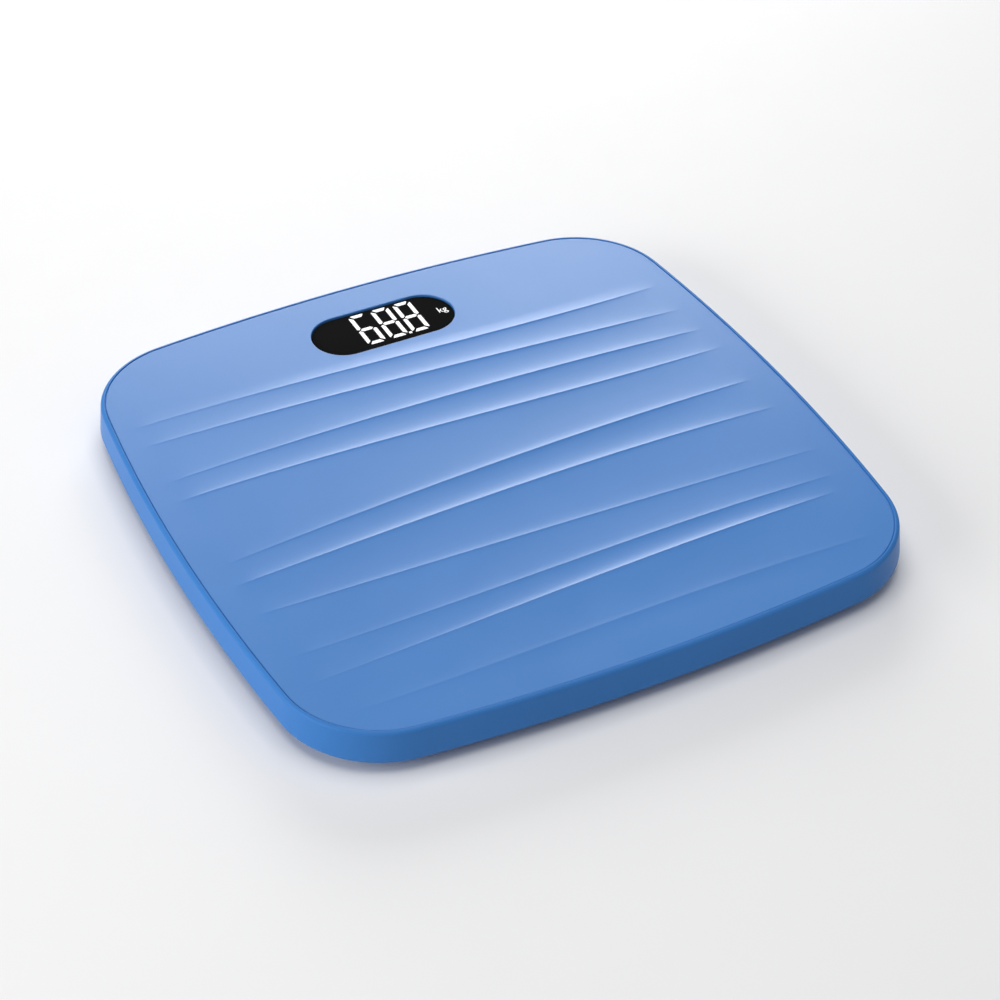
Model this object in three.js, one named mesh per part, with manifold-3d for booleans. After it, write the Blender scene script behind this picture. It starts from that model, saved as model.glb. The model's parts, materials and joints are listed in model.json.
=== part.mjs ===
// A free-standing electronic body scale with a wave-relief platform and a lit display.
// Millimetres, +Z up, +X to the right of someone who reads the display, +Y towards the display's edge.
// The origin is on the floor, under the middle of the platform.
import * as THREE from "three";
import { mergeVertices } from "three/addons/utils/BufferGeometryUtils.js";
import Module from "manifold-3d";

const wasm = await Module();
wasm.setup();

// ---- Driving dimensions ----

const GAP = 0.3; // left between pieces that touch

// Outline of the top edge: four shallow arcs joined by round corners.
const HALF_SIDE = 150;
const CORNER_RADIUS = 46.6;
const SIDE_BOW = 5.1;
const STEPS_PER_SIDE = 6;
const STEPS_PER_CORNER = 9;

// Levels above the floor.
const TRAY_BOTTOM = 4.5;
const TRAY_FLOOR = 6.7;
const TOP = 21;
const PANEL_TOP = 20.8;
const PANEL_UNDERSIDE = 18.4;

// Tray wall.
const WALL_FLARE = 1.2;
const LIP_WIDTH = 2;
const TOP_EDGE_RADIUS = 1.8;
const BOTTOM_EDGE_RADIUS = 3;
const LEDGE_WIDTH = 1.8;
const EDGE_STEPS = 2;

// Wave relief: each crest's distance from the middle, and its height, at four stations across the platform.
const CREST_STATIONS = [-120, -40, 40, 120];
const CRESTS = [
  { at: [89.2, 87.4, 83.4, 82.4], height: [0.13, 0.5, 0.85, 0.33] },
  { at: [74, 71.1, 65.9, 61], height: [0.23, 0.72, 1.04, 0.35] },
  { at: [46.2, 47.8, 46, 42.2], height: [0.22, 0.7, 1.04, 0.42] },
  { at: [31.4, 30.2, 26.4, 24.3], height: [0.38, 0.82, 1.0, 0.44] },
  { at: [-16.4, -9.9, -5.8, -4.2], height: [0.2, 0.8, 1.1, 0.45] },
  { at: [-31.8, -27.8, -25.5, -26.5], height: [0.4, 0.95, 1.04, 0.32] },
  { at: [-54.1, -56.5, -58.9, -61.7], height: [0.25, 0.62, 0.55, 0.17] },
  { at: [-83.7, -82.9, -80.9, -81.1], height: [0.13, 0.52, 0.7, 0.16] },
  { at: [-101.2, -97.5, -94, -92.3], height: [0.12, 0.66, 1.0, 0.14] },
  { at: [-124, -123.4, -122.2, -124.2], height: [0.06, 0.24, 0.24, 0.06] },
];
const HOLLOW_ROWS = [
  { place: 0.18, left: 0.55 },
  { place: 0.55, left: 0.12 },
  { place: 0.82, left: 0.4 },
]; // places between two crests, and the share of their height left there
const OUTER_FALL = 8.5; // length over which the first and the last crest fall to the flat border
const RELIEF_REACH = 141; // half the width over which the crests stand up
const RELIEF_BORDER = HALF_SIDE + 2; // the relief is made past the outline and trimmed to it
const RELIEF_COLUMNS = 12;

// Ribs under the panel.
const RIB = { halfWidth: 0.9, bottom: 12.4, reach: 136, crossBack: 40 };
const RIB_Y = [-60, -20, 20];
const CROSS_RIB_X = [-60, 0, 60];

// Display.
const WINDOW = { x: 0.6, y: 113.1, length: 72.6, width: 31.6 };
const LENS_TOP = 19.9;
const LENS_FLANGE = { reach: 2.2, thickness: 1.1 };
const DISPLAY_FRAME = {
  halfLength: 39,
  halfWidth: 18.5,
  innerHalfLength: 35,
  innerHalfWidth: 14.75,
  top: 16.7,
};
const DISPLAY_MODULE = { halfLength: 34.4, halfWidth: 14.25, thickness: 3 };

// Main board and what it carries on its underside.
const BOARD = { bottom: 11.5, thickness: 1.6, halfLength: 42, front: 88, back: 133 };
const POST = { radius: 2.2, x: 38, front: 98, back: 127 };
const CHIP = { x: 10, y: 116.5, half: 4.5, thickness: 1.2 };
const CONNECTOR = { halfLength: 9, front: 86, back: 92, bottom: 7.3 };
const SWITCH = { half: 3, height: 2.2, well: 1.9, roof: 0.7 };
const PLUNGER = { radius: 1.6, bottom: 8.3, top: 9.9 };

// Unit button.
const BUTTON = { x: -26, y: 104, radius: 5, hole: 5.3, proud: 0.6, bevel: 0.5, bevelRise: 0.4 };
const BUTTON_FLANGE = { reach: 1.4, thickness: 0.7 };
const BUTTON_PIN = { radius: 1.6, top: 8 };

// Load cells and their housings.
const CELL = { bottom: 10.9, thickness: 2, side: 38 };
const CELL_SLOT = { reach: 8.5, width: 2.5, halfLength: 12 };
const GAUGE = { y: 10, halfLength: 4.5, halfWidth: 3.5, thickness: 0.8 };
const HOUSING = { half: 23, cellClearance: 1, lipReach: 2.5, lipHalfWidth: 8, lipThickness: 1 };
const GAUGE_POCKET = { halfLength: 10, front: -6, back: 16, depth: 3 };
const LEAD_WAY = { start: 9, halfWidth: 3 };
const CURB = { thickness: 1.6, height: 3 };

// Feet.
const FOOT_POSITION = 105;
const FOOT_HOLE_RADIUS = 17.3;
const FOOT = { radius: 16.5, wall: 1.7, rimBottom: 1.2, padSeat: 2.5, floorTop: 4.3, stud: 4 };
const FOOT_FLANGE = { reach: 1.7, thickness: 1 };
const PAD = { thickness: 2.2, bevel: 0.6 };

// Battery bay and door. Lengths run along X, and front and back are levels of Y.
const BAY = { halfLength: 26, front: 47.7, back: 73.5, endWall: 4.5, sideWall: 1.9 };
const BATTERY = { radius: 5.15, bevel: 0.4, length: 43.5, nubRadius: 1.9, nubLength: 1, z: 11.45 };
const BATTERY_FRONT_Y = 56.1;
const BATTERY_BACK_Y = 67.9;
const CONTACT = { thickness: 0.5, halfHeight: 4.3, z: 11.25, halfWidth: 4, bridgeHalfWidth: 10 };
const SPRING = { wire: 0.35, radius: 2.8, turns: 3, stepsPerTurn: 10 };
const DOOR = { halfLength: 28, front: 47.5, back: 76.5, thickness: 1.5 };
const DOOR_HINGE = { y: 75.2, z: 5.8, barrel: 1.3, stub: 0.6, hole: 0.9, stubLength: 1.3, stubRoom: 0.5 };
const LATCH = { halfLength: 5, inset: 0.6, thickness: 1.2, top: 10.5 };
const FINGER_NOTCH = { halfLength: 8, reach: 5, depth: 1.2 };

// Case screws, their wells in the tray and the bosses under the panel that they run into.
const SCREW_POSITIONS = [
  [-132, 40],
  [-132, -40],
  [132, 40],
  [132, -40],
  [-62, 133],
  [62, 133],
  [-62, -133],
  [62, -133],
];
const SCREW = {
  head: 3.2,
  crown: 2.6,
  headHeight: 1.9,
  crownHeight: 0.7,
  recess: 1,
  shank: 1.3,
  length: 7,
  point: 1,
};
const SCREW_WELL = { top: 9, radius: 3.6, shankHole: 1.7, boss: 5.5, roof: 2 };
const PANEL_BOSS = { radius: 3.5, pilot: 1.6, roof: 1 };

// Leads.
const CELL_LEAD_RADIUS = 1.2;
const BATTERY_LEAD_RADIUS = 0.8;
const RUN_LEVEL = 8.5; // height of a lead's middle where it lies along the tray's floor
const EXIT_LEVEL = 14.8; // and where it leaves a cell's housing

// Rating label.
const LABEL = { halfLength: 35, middleY: -20, halfWidth: 20, thickness: 0.2 };

const OVERLAP = 1; // how far a joined solid reaches into its neighbour and a cutter runs past a face

const ROUND = 16; // sides of a small round piece
const BIG_ROUND = 24; // sides of a foot

// ---- Materials ----

function material(color, roughness, metalness = 0) {
  return new THREE.MeshStandardMaterial({ color, roughness, metalness });
}

const FINISH = {
  shell: [0x6991cb, 0.42],
  lens: [0x1c1c1c, 0.08],
  dark: [0x202022, 0.5],
  white: [0xe8e8e4, 0.5],
  board: [0x1f6b3a, 0.5],
  steel: [0xa8abae, 0.35, 1],
  gold: [0xc8a860, 0.35, 1],
  rubber: [0x3c4044, 0.85],
  cell: [0x35507c, 0.4],
  sealant: [0xd9d6cc, 0.7],
  cable: [0xd8d8d8, 0.6],
  label: [0xc9ccd0, 0.45],
};

// ---- Solids: joined and cut from three.js geometries ----

function solidOf(geometry) {
  const bare = geometry.clone();
  bare.deleteAttribute("normal");
  bare.deleteAttribute("uv");
  const merged = mergeVertices(bare, 1e-3);
  return new wasm.Manifold(
    new wasm.Mesh({
      numProp: 3,
      vertProperties: new Float32Array(merged.attributes.position.array),
      triVerts: new Uint32Array(merged.index.array),
    }),
  );
}

function geometryOf(solid) {
  const mesh = solid.getMesh();
  const geometry = new THREE.BufferGeometry();
  geometry.setAttribute("position", new THREE.BufferAttribute(mesh.vertProperties, 3));
  geometry.setIndex(new THREE.BufferAttribute(mesh.triVerts, 1));
  const faceted = geometry.toNonIndexed();
  faceted.computeVertexNormals();
  return faceted;
}

function joined(solids) {
  return solids.reduce((all, solid) => all.add(solid));
}

function cut(solid, tools) {
  return tools.reduce((rest, tool) => rest.subtract(tool), solid);
}

// A box between two levels of each axis.
function block([x0, x1], [y0, y1], [z0, z1]) {
  const geometry = new THREE.BoxGeometry(x1 - x0, y1 - y0, z1 - z0);
  geometry.translate((x0 + x1) / 2, (y0 + y1) / 2, (z0 + z1) / 2);
  return solidOf(geometry);
}

function around(middle, half) {
  return [middle - half, middle + half];
}

// An upright turned solid. The profile holds [radius, z] points, going up round the outside.
function turned(profile, x = 0, y = 0, sides = ROUND) {
  const points = profile.map(([radius, z]) => new THREE.Vector2(radius, z));
  const geometry = new THREE.LatheGeometry(points, sides);
  geometry.rotateX(Math.PI / 2);
  geometry.translate(x, y, 0);
  return solidOf(geometry);
}

function disc(radius, [z0, z1], x = 0, y = 0, sides = ROUND) {
  return turned([[0, z0], [radius, z0], [radius, z1], [0, z1]], x, y, sides);
}

// A round bar along X.
function bar(radius, [x0, x1], y, z, sides = ROUND) {
  const geometry = new THREE.CylinderGeometry(radius, radius, x1 - x0, sides);
  geometry.rotateZ(Math.PI / 2);
  geometry.translate((x0 + x1) / 2, y, z);
  return solidOf(geometry);
}

function extruded(shape, [z0, z1], curveSegments = 8) {
  const geometry = new THREE.ExtrudeGeometry(shape, {
    depth: z1 - z0,
    bevelEnabled: false,
    curveSegments,
  });
  geometry.translate(0, 0, z0);
  return solidOf(geometry);
}

// A round tube along a curve.
function tube(curve, radius, steps, sides) {
  const section = new THREE.Shape();
  section.absarc(0, 0, radius, 0, 2 * Math.PI, false);
  const geometry = new THREE.ExtrudeGeometry(section, {
    steps,
    curveSegments: sides / 2,
    extrudePath: curve,
  });
  return solidOf(geometry);
}

function cable(points, radius) {
  const curve = new THREE.CatmullRomCurve3(points.map((point) => new THREE.Vector3(...point)));
  return tube(curve, radius, points.length * 2, 8);
}

// ---- Outline of the platform ----

// Stations round the outline: each is the centre of its arc, the arc's radius and the direction.
function outlineStations() {
  const middle = HALF_SIDE - CORNER_RADIUS;
  const corner = middle - SIDE_BOW;
  const bowRadius = (corner ** 2 + SIDE_BOW ** 2) / (2 * SIDE_BOW);
  const halfAngle = Math.asin(corner / bowRadius);
  const stations = [];
  for (let side = 0; side < 4; side++) {
    const turn = (side * Math.PI) / 2;
    const turnedPoint = (x, y) => [
      x * Math.cos(turn) - y * Math.sin(turn),
      x * Math.sin(turn) + y * Math.cos(turn),
    ];
    for (let i = 0; i < STEPS_PER_SIDE; i++) {
      const angle = halfAngle * ((2 * i) / STEPS_PER_SIDE - 1) + turn;
      stations.push({ centre: turnedPoint(middle - bowRadius, 0), radius: bowRadius + CORNER_RADIUS, angle });
    }
    for (let i = 0; i < STEPS_PER_CORNER; i++) {
      const sweep = Math.PI / 2 - 2 * halfAngle;
      const angle = halfAngle + (sweep * i) / STEPS_PER_CORNER + turn;
      stations.push({ centre: turnedPoint(corner, corner), radius: CORNER_RADIUS, angle });
    }
  }
  return stations;
}

const OUTLINE = outlineStations();

function outlinePoint(station, inset) {
  const reach = station.radius - inset;
  return [
    station.centre[0] + reach * Math.cos(station.angle),
    station.centre[1] + reach * Math.sin(station.angle),
  ];
}

// A solid with the platform's outline. The profile holds [inset, z] points, going up round the outside.
// A lathe makes the rings of faces, and each ring's points are then moved onto the outline.
function outlineSolid(profile) {
  const inner = [0, profile[0][1]];
  const outer = profile.map(([inset, z]) => [HALF_SIDE - inset, z]);
  const last = [0, profile[profile.length - 1][1]];
  const points = [inner, ...outer, last].map(([radius, z]) => new THREE.Vector2(radius, z));
  const geometry = new THREE.LatheGeometry(points, OUTLINE.length);
  geometry.rotateX(Math.PI / 2);
  const position = geometry.attributes.position;
  for (let i = 0; i < position.count; i++) {
    const ring = i % points.length;
    if (ring === 0 || ring === points.length - 1) continue;
    const station = OUTLINE[Math.floor(i / points.length) % OUTLINE.length];
    const [x, y] = outlinePoint(station, profile[ring - 1][0]);
    position.setXY(i, x, y);
  }
  return solidOf(geometry);
}

// Points of a quarter circle in the profile's plane, as [inset, z].
function roundedEdge(inset, z, radius, from, to) {
  const points = [];
  for (let i = 0; i <= EDGE_STEPS; i++) {
    const angle = from + ((to - from) * i) / EDGE_STEPS;
    points.push([inset - radius * Math.cos(angle), z + radius * Math.sin(angle)]);
  }
  return points;
}

// ---- Wave relief ----

// The cubic through a value's four stations, at x.
function cubicThrough(values, x) {
  return CREST_STATIONS.reduce((sum, station, i) => {
    const others = CREST_STATIONS.filter((_, j) => j !== i);
    const weight = others.reduce((product, other) => (product * (x - other)) / (station - other), 1);
    return sum + weight * values[i];
  }, 0);
}

function crestY(crest, x) {
  return cubicThrough(crest.at, THREE.MathUtils.clamp(x, -HALF_SIDE, HALF_SIDE));
}

function crestHeight(crest, x) {
  return Math.abs(x) > RELIEF_REACH ? 0 : Math.max(cubicThrough(crest.height, x), 0);
}

// Rows of the relief, from the front edge to the back. A row is {y(x), height(x)}.
function reliefRows() {
  const level = (y) => ({ y: () => y, height: () => 0 });
  const beside = (crest, distance) => ({ y: (x) => crestY(crest, x) + distance, height: () => 0 });
  const onTop = (crest) => ({ y: (x) => crestY(crest, x), height: (x) => crestHeight(crest, x) });
  const between = (near, far, { place, left }) => ({
    y: (x) => THREE.MathUtils.lerp(crestY(near, x), crestY(far, x), place),
    height: (x) => left * THREE.MathUtils.lerp(crestHeight(near, x), crestHeight(far, x), place),
  });
  const crests = [...CRESTS].reverse();
  const rows = [level(-RELIEF_BORDER), beside(crests[0], -OUTER_FALL)];
  crests.forEach((crest, k) => {
    rows.push(onTop(crest));
    const next = crests[k + 1];
    if (next) rows.push(...HOLLOW_ROWS.map((hollow) => between(crest, next, hollow)));
  });
  rows.push(beside(crests[crests.length - 1], OUTER_FALL), level(RELIEF_BORDER));
  return rows;
}

// A slab with the relief on top: a box whose rows are moved onto the crests and the hollows between them.
function reliefSlab() {
  const rows = reliefRows();
  const geometry = new THREE.BoxGeometry(1, 1, 1, RELIEF_COLUMNS, rows.length - 1, 1);
  const position = geometry.attributes.position;
  for (let i = 0; i < position.count; i++) {
    const x = 2 * RELIEF_BORDER * position.getX(i);
    const row = rows[Math.round((position.getY(i) + 0.5) * (rows.length - 1))];
    const isTop = position.getZ(i) > 0;
    position.setXYZ(i, x, row.y(x), isTop ? PANEL_TOP + row.height(x) : PANEL_UNDERSIDE - OVERLAP);
  }
  return solidOf(geometry);
}

// ---- Platform panel ----

function windowShape(grow) {
  const radius = WINDOW.width / 2 + grow;
  const straight = (WINDOW.length - WINDOW.width) / 2;
  const shape = new THREE.Shape();
  shape.absarc(WINDOW.x + straight, WINDOW.y, radius, -Math.PI / 2, Math.PI / 2, false);
  shape.absarc(WINDOW.x - straight, WINDOW.y, radius, Math.PI / 2, 1.5 * Math.PI, false);
  return shape;
}

function panelRibs() {
  const levels = [RIB.bottom, PANEL_UNDERSIDE + OVERLAP];
  const along = RIB_Y.map((y) => block(around(0, RIB.reach), around(y, RIB.halfWidth), levels));
  const across = CROSS_RIB_X.map((x) => block(around(x, RIB.halfWidth), [-RIB.reach, RIB.crossBack], levels));
  return [...along, ...across];
}

// The panel's outline with a small bevel, opening upwards over the relief.
function panelBlank() {
  const rim = LIP_WIDTH + GAP;
  const openUp = 12;
  const headroom = 2;
  return outlineSolid([
    [rim, PANEL_UNDERSIDE],
    [rim, PANEL_TOP - GAP],
    [rim + GAP, PANEL_TOP],
    [rim + openUp, PANEL_TOP + headroom],
  ]);
}

function platformPanel() {
  const bossLevels = [SCREW_WELL.top + SCREW_WELL.roof + GAP, PANEL_UNDERSIDE + OVERLAP];
  const bosses = SCREW_POSITIONS.map(([x, y]) => disc(PANEL_BOSS.radius, bossLevels, x, y));
  const pilotLevels = [SCREW_WELL.top, PANEL_UNDERSIDE - PANEL_BOSS.roof];
  const pilots = SCREW_POSITIONS.map(([x, y]) => disc(PANEL_BOSS.pilot, pilotLevels, x, y));
  const skin = panelBlank().intersect(reliefSlab());
  const opening = extruded(windowShape(0), [PANEL_UNDERSIDE - OVERLAP, PANEL_TOP + OVERLAP]);
  return cut(joined([skin, ...panelRibs(), ...bosses]), [...pilots, opening]);
}

// ---- Base tray ----

function trayShell() {
  const bottomCentre = TRAY_BOTTOM + BOTTOM_EDGE_RADIUS;
  const wall = [
    ...roundedEdge(-WALL_FLARE + BOTTOM_EDGE_RADIUS, bottomCentre, BOTTOM_EDGE_RADIUS, -Math.PI / 2, 0),
    ...roundedEdge(TOP_EDGE_RADIUS, TOP - TOP_EDGE_RADIUS, TOP_EDGE_RADIUS, 0, Math.PI / 2),
  ];
  const hollow = [
    [LIP_WIDTH + LEDGE_WIDTH, TRAY_FLOOR],
    [LIP_WIDTH + LEDGE_WIDTH, PANEL_UNDERSIDE - GAP],
    [LIP_WIDTH, PANEL_UNDERSIDE - GAP],
    [LIP_WIDTH, TOP + OVERLAP],
  ];
  return outlineSolid(wall).subtract(outlineSolid(hollow));
}

function batteryBayBlock() {
  const sides = [DOOR.front - BAY.sideWall, DOOR.back + BAY.sideWall];
  return block(around(0, BAY.halfLength + BAY.endWall), sides, [TRAY_BOTTOM, PANEL_UNDERSIDE - GAP]);
}

function batteryBayCuts() {
  const below = TRAY_BOTTOM - OVERLAP;
  const doorLength = around(0, DOOR.halfLength + GAP);
  const { y, z, barrel, hole, stubLength, stubRoom } = DOOR_HINGE;
  const notch = [DOOR.front - FINGER_NOTCH.reach, DOOR.front];
  const cellsTop = BATTERY.z + BATTERY.radius + GAP;
  return [
    block(around(0, BAY.halfLength), [BAY.front, BAY.back], [below, cellsTop]),
    block(doorLength, [DOOR.front - GAP, DOOR.back + GAP], [below, TRAY_BOTTOM + DOOR.thickness + GAP]),
    block(doorLength, [BAY.back - GAP, DOOR.back + GAP], [below, z + barrel + GAP]),
    bar(hole, around(0, DOOR.halfLength + stubLength + stubRoom), y, z),
    block(around(0, FINGER_NOTCH.halfLength), notch, [below, TRAY_BOTTOM + FINGER_NOTCH.depth]),
  ];
}

// A low square curb on the tray's floor that keeps a cell housing in place.
function housingCurb(x, y) {
  const inner = HOUSING.half + GAP;
  const outer = inner + CURB.thickness;
  const levels = [TRAY_FLOOR - OVERLAP, TRAY_FLOOR + CURB.height];
  const through = [levels[0] - OVERLAP, levels[1] + OVERLAP];
  return block(around(x, outer), around(y, outer), levels).subtract(
    block(around(x, inner), around(y, inner), through),
  );
}

function cornerPositions() {
  return [-1, 1].flatMap((x) => [-1, 1].map((y) => [x * FOOT_POSITION, y * FOOT_POSITION]));
}

function boardPosts() {
  const levels = [TRAY_FLOOR - OVERLAP, BOARD.bottom - GAP];
  const rows = [POST.front, POST.back];
  return [-POST.x, POST.x].flatMap((x) => rows.map((y) => disc(POST.radius, levels, x, y)));
}

function baseTray() {
  const bossLevels = [TRAY_FLOOR - OVERLAP, SCREW_WELL.top + SCREW_WELL.roof];
  const bosses = SCREW_POSITIONS.map(([x, y]) => disc(SCREW_WELL.boss, bossLevels, x, y));
  const wells = SCREW_POSITIONS.flatMap(([x, y]) => [
    disc(SCREW_WELL.radius, [TRAY_BOTTOM - OVERLAP, SCREW_WELL.top], x, y),
    disc(SCREW_WELL.shankHole, [TRAY_BOTTOM, bossLevels[1] + OVERLAP], x, y),
  ]);
  const floorLevels = [TRAY_BOTTOM - OVERLAP, TRAY_FLOOR + OVERLAP];
  const footHoles = cornerPositions().map(([x, y]) => disc(FOOT_HOLE_RADIUS, floorLevels, x, y, BIG_ROUND));
  const buttonHole = disc(BUTTON.hole, floorLevels, BUTTON.x, BUTTON.y);
  const curbs = cornerPositions().map(([x, y]) => housingCurb(x, y));
  const whole = joined([trayShell(), batteryBayBlock(), ...bosses, ...curbs, ...boardPosts()]);
  return cut(whole, [...wells, ...footHoles, buttonHole, ...batteryBayCuts()]);
}

// ---- Display and electronics ----

const BOARD_TOP = BOARD.bottom + BOARD.thickness;
const UNDER_BOARD = BOARD.bottom - GAP; // top of the pieces that hang under the board

function displayLens() {
  const shoulder = PANEL_UNDERSIDE - GAP;
  const flangeBottom = shoulder - LENS_FLANGE.thickness;
  const flange = extruded(windowShape(LENS_FLANGE.reach), [flangeBottom, shoulder]);
  return flange.add(extruded(windowShape(-GAP), [flangeBottom + LENS_FLANGE.thickness / 2, LENS_TOP]));
}

function displayFrame() {
  const { halfLength, halfWidth, innerHalfLength, innerHalfWidth, top } = DISPLAY_FRAME;
  const levels = [BOARD_TOP + GAP, top];
  const through = [levels[0] - OVERLAP, levels[1] + OVERLAP];
  return block(around(WINDOW.x, halfLength), around(WINDOW.y, halfWidth), levels).subtract(
    block(around(WINDOW.x, innerHalfLength), around(WINDOW.y, innerHalfWidth), through),
  );
}

function displayModule() {
  const { halfLength, halfWidth, thickness } = DISPLAY_MODULE;
  const bottom = BOARD_TOP + GAP;
  return block(around(WINDOW.x, halfLength), around(WINDOW.y, halfWidth), [bottom, bottom + thickness]);
}

function mainBoard() {
  return block(around(0, BOARD.halfLength), [BOARD.front, BOARD.back], [BOARD.bottom, BOARD_TOP]);
}

function controllerChip() {
  const levels = [UNDER_BOARD - CHIP.thickness, UNDER_BOARD];
  return block(around(CHIP.x, CHIP.half), around(CHIP.y, CHIP.half), levels);
}

function leadConnector() {
  const { halfLength, front, back, bottom } = CONNECTOR;
  return block(around(0, halfLength), [front, back], [bottom, UNDER_BOARD]);
}

function unitSwitch() {
  const { half, height, well, roof } = SWITCH;
  const bottom = UNDER_BOARD - height;
  const body = block(around(BUTTON.x, half), around(BUTTON.y, half), [bottom, UNDER_BOARD]);
  return body.subtract(disc(well, [bottom - OVERLAP, UNDER_BOARD - roof], BUTTON.x, BUTTON.y));
}

function switchPlunger() {
  return disc(PLUNGER.radius, [PLUNGER.bottom, PLUNGER.top], BUTTON.x, BUTTON.y);
}

function unitButton() {
  const { x, y, radius, proud, bevel, bevelRise } = BUTTON;
  const face = TRAY_BOTTOM - proud;
  const flangeBottom = TRAY_FLOOR + GAP;
  const flangeTop = flangeBottom + BUTTON_FLANGE.thickness;
  const profile = [
    [0, face],
    [radius - bevel, face],
    [radius, face + bevelRise],
    [radius, flangeBottom],
    [radius + BUTTON_FLANGE.reach, flangeBottom],
    [radius + BUTTON_FLANGE.reach, flangeTop],
    [BUTTON_PIN.radius, flangeTop],
    [BUTTON_PIN.radius, BUTTON_PIN.top],
    [0, BUTTON_PIN.top],
  ];
  return turned(profile, x, y);
}

// ---- Battery bay ----

function batteryDoor() {
  const { y, z, barrel, stub, stubLength } = DOOR_HINGE;
  const length = around(0, DOOR.halfLength);
  const plate = block(length, [DOOR.front, y], [TRAY_BOTTOM, TRAY_BOTTOM + DOOR.thickness]);
  const latchFront = DOOR.front + LATCH.inset;
  const latchSides = [latchFront, latchFront + LATCH.thickness];
  const latch = block(around(0, LATCH.halfLength), latchSides, [TRAY_BOTTOM + OVERLAP, LATCH.top]);
  const stubs = bar(stub, around(0, DOOR.halfLength + stubLength), y, z);
  return joined([plate, latch, bar(barrel, length, y, z), stubs]);
}

// Distance from the bay's middle to the inner face of a contact plate.
const CONTACT_FACE = BAY.halfLength - GAP - CONTACT.thickness;

// A battery that lies along X, its nub towards +X when the direction is 1 and towards -X when it is -1.
function battery(y, direction) {
  const { radius, bevel, length, nubRadius, nubLength, z } = BATTERY;
  const profile = [
    [0, 0],
    [radius - bevel, 0],
    [radius, bevel],
    [radius, length - bevel],
    [radius - bevel, length],
    [nubRadius, length],
    [nubRadius, length + nubLength],
    [0, length + nubLength],
  ];
  const points = profile.map(([reach, along]) => new THREE.Vector2(reach, along));
  const geometry = new THREE.LatheGeometry(points, ROUND);
  geometry.translate(0, CONTACT_FACE - GAP - nubLength - length, 0);
  geometry.rotateZ((-direction * Math.PI) / 2);
  geometry.translate(0, y, z);
  return solidOf(geometry);
}

class CoilCurve extends THREE.Curve {
  constructor(start, length, radius, turns) {
    super();
    Object.assign(this, { start, length, radius, turns });
  }

  getPoint(t) {
    const angle = 2 * Math.PI * this.turns * t;
    const [x, y, z] = this.start;
    const offset = [this.radius * Math.cos(angle), this.radius * Math.sin(angle)];
    return new THREE.Vector3(x + this.length * t, y + offset[0], z + offset[1]);
  }
}

// The spring between a battery's flat end and the contact plate on that side.
function batterySpring(y, direction) {
  const { wire, radius, turns, stepsPerTurn } = SPRING;
  const flatEnd = BATTERY.length + BATTERY.nubLength - CONTACT_FACE + GAP;
  const start = flatEnd + GAP + wire;
  const end = CONTACT_FACE - GAP - wire;
  const curve = new CoilCurve([direction * start, y, BATTERY.z], direction * (end - start), radius, turns);
  return tube(curve, wire, turns * stepsPerTurn, 6);
}

// A contact plate against an end wall of the bay, centred on a level of Y.
function contactPlate(direction, y, halfWidth) {
  const outer = BAY.halfLength - GAP;
  const x = [direction * outer, direction * CONTACT_FACE].sort((a, b) => a - b);
  return block(x, around(y, halfWidth), around(CONTACT.z, CONTACT.halfHeight));
}

// ---- Corner assembly, modelled round its own middle; its lead leaves towards +X ----

const CELL_TOP = CELL.bottom + CELL.thickness;

// Rectangular stamping with a U-shaped slot that frees its tongue.
function loadCell() {
  const { reach, width, halfLength } = CELL_SLOT;
  const half = CELL.side / 2;
  const through = [CELL.bottom - OVERLAP, CELL_TOP + OVERLAP];
  return cut(block(around(0, half), around(0, half), [CELL.bottom, CELL_TOP]), [
    block([-reach, -reach + width], around(0, halfLength), through),
    block([reach - width, reach], around(0, halfLength), through),
    block(around(0, reach), [-halfLength, -halfLength + width], through),
  ]);
}

function strainGauge() {
  const bottom = CELL_TOP + GAP;
  const levels = [bottom, bottom + GAUGE.thickness];
  return block(around(0, GAUGE.halfLength), around(GAUGE.y, GAUGE.halfWidth), levels);
}

function cellHousing() {
  const half = CELL.side / 2 + HOUSING.cellClearance;
  const ceiling = CELL_TOP + GAP;
  const square = around(0, HOUSING.half);
  const body = block(square, square, [TRAY_FLOOR + GAP, PANEL_UNDERSIDE - GAP]);
  const pocket = block(around(0, half), around(0, half), [TRAY_FLOOR, ceiling]);
  const aboveCell = [ceiling - OVERLAP, ceiling + GAUGE_POCKET.depth];
  const gaugeRoom = [GAUGE_POCKET.front, GAUGE_POCKET.back];
  const relief = block(around(0, GAUGE_POCKET.halfLength), gaugeRoom, aboveCell);
  const leadLength = [LEAD_WAY.start, HOUSING.half + OVERLAP];
  const leadWay = block(leadLength, around(GAUGE.y, LEAD_WAY.halfWidth), aboveCell);
  const lipTop = CELL.bottom - GAP;
  const lips = [-1, 1].map((side) => {
    const x = [side * (half - HOUSING.lipReach), side * (half + OVERLAP)].sort((a, b) => a - b);
    return block(x, around(0, HOUSING.lipHalfWidth), [lipTop - HOUSING.lipThickness, lipTop]);
  });
  return joined([cut(body, [pocket, relief, leadWay]), ...lips]);
}

function footCup() {
  const { radius, wall, rimBottom, padSeat, floorTop, stud } = FOOT;
  const flangeBottom = TRAY_FLOOR + GAP;
  const flangeTop = flangeBottom + FOOT_FLANGE.thickness;
  const profile = [
    [0, padSeat],
    [radius - wall, padSeat],
    [radius - wall, rimBottom],
    [radius, rimBottom],
    [radius, flangeBottom],
    [radius + FOOT_FLANGE.reach, flangeBottom],
    [radius + FOOT_FLANGE.reach, flangeTop],
    [radius - wall, flangeTop],
    [radius - wall, floorTop],
    [stud, floorTop],
    [stud, CELL.bottom - GAP],
    [0, CELL.bottom - GAP],
  ];
  return turned(profile, 0, 0, BIG_ROUND);
}

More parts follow.
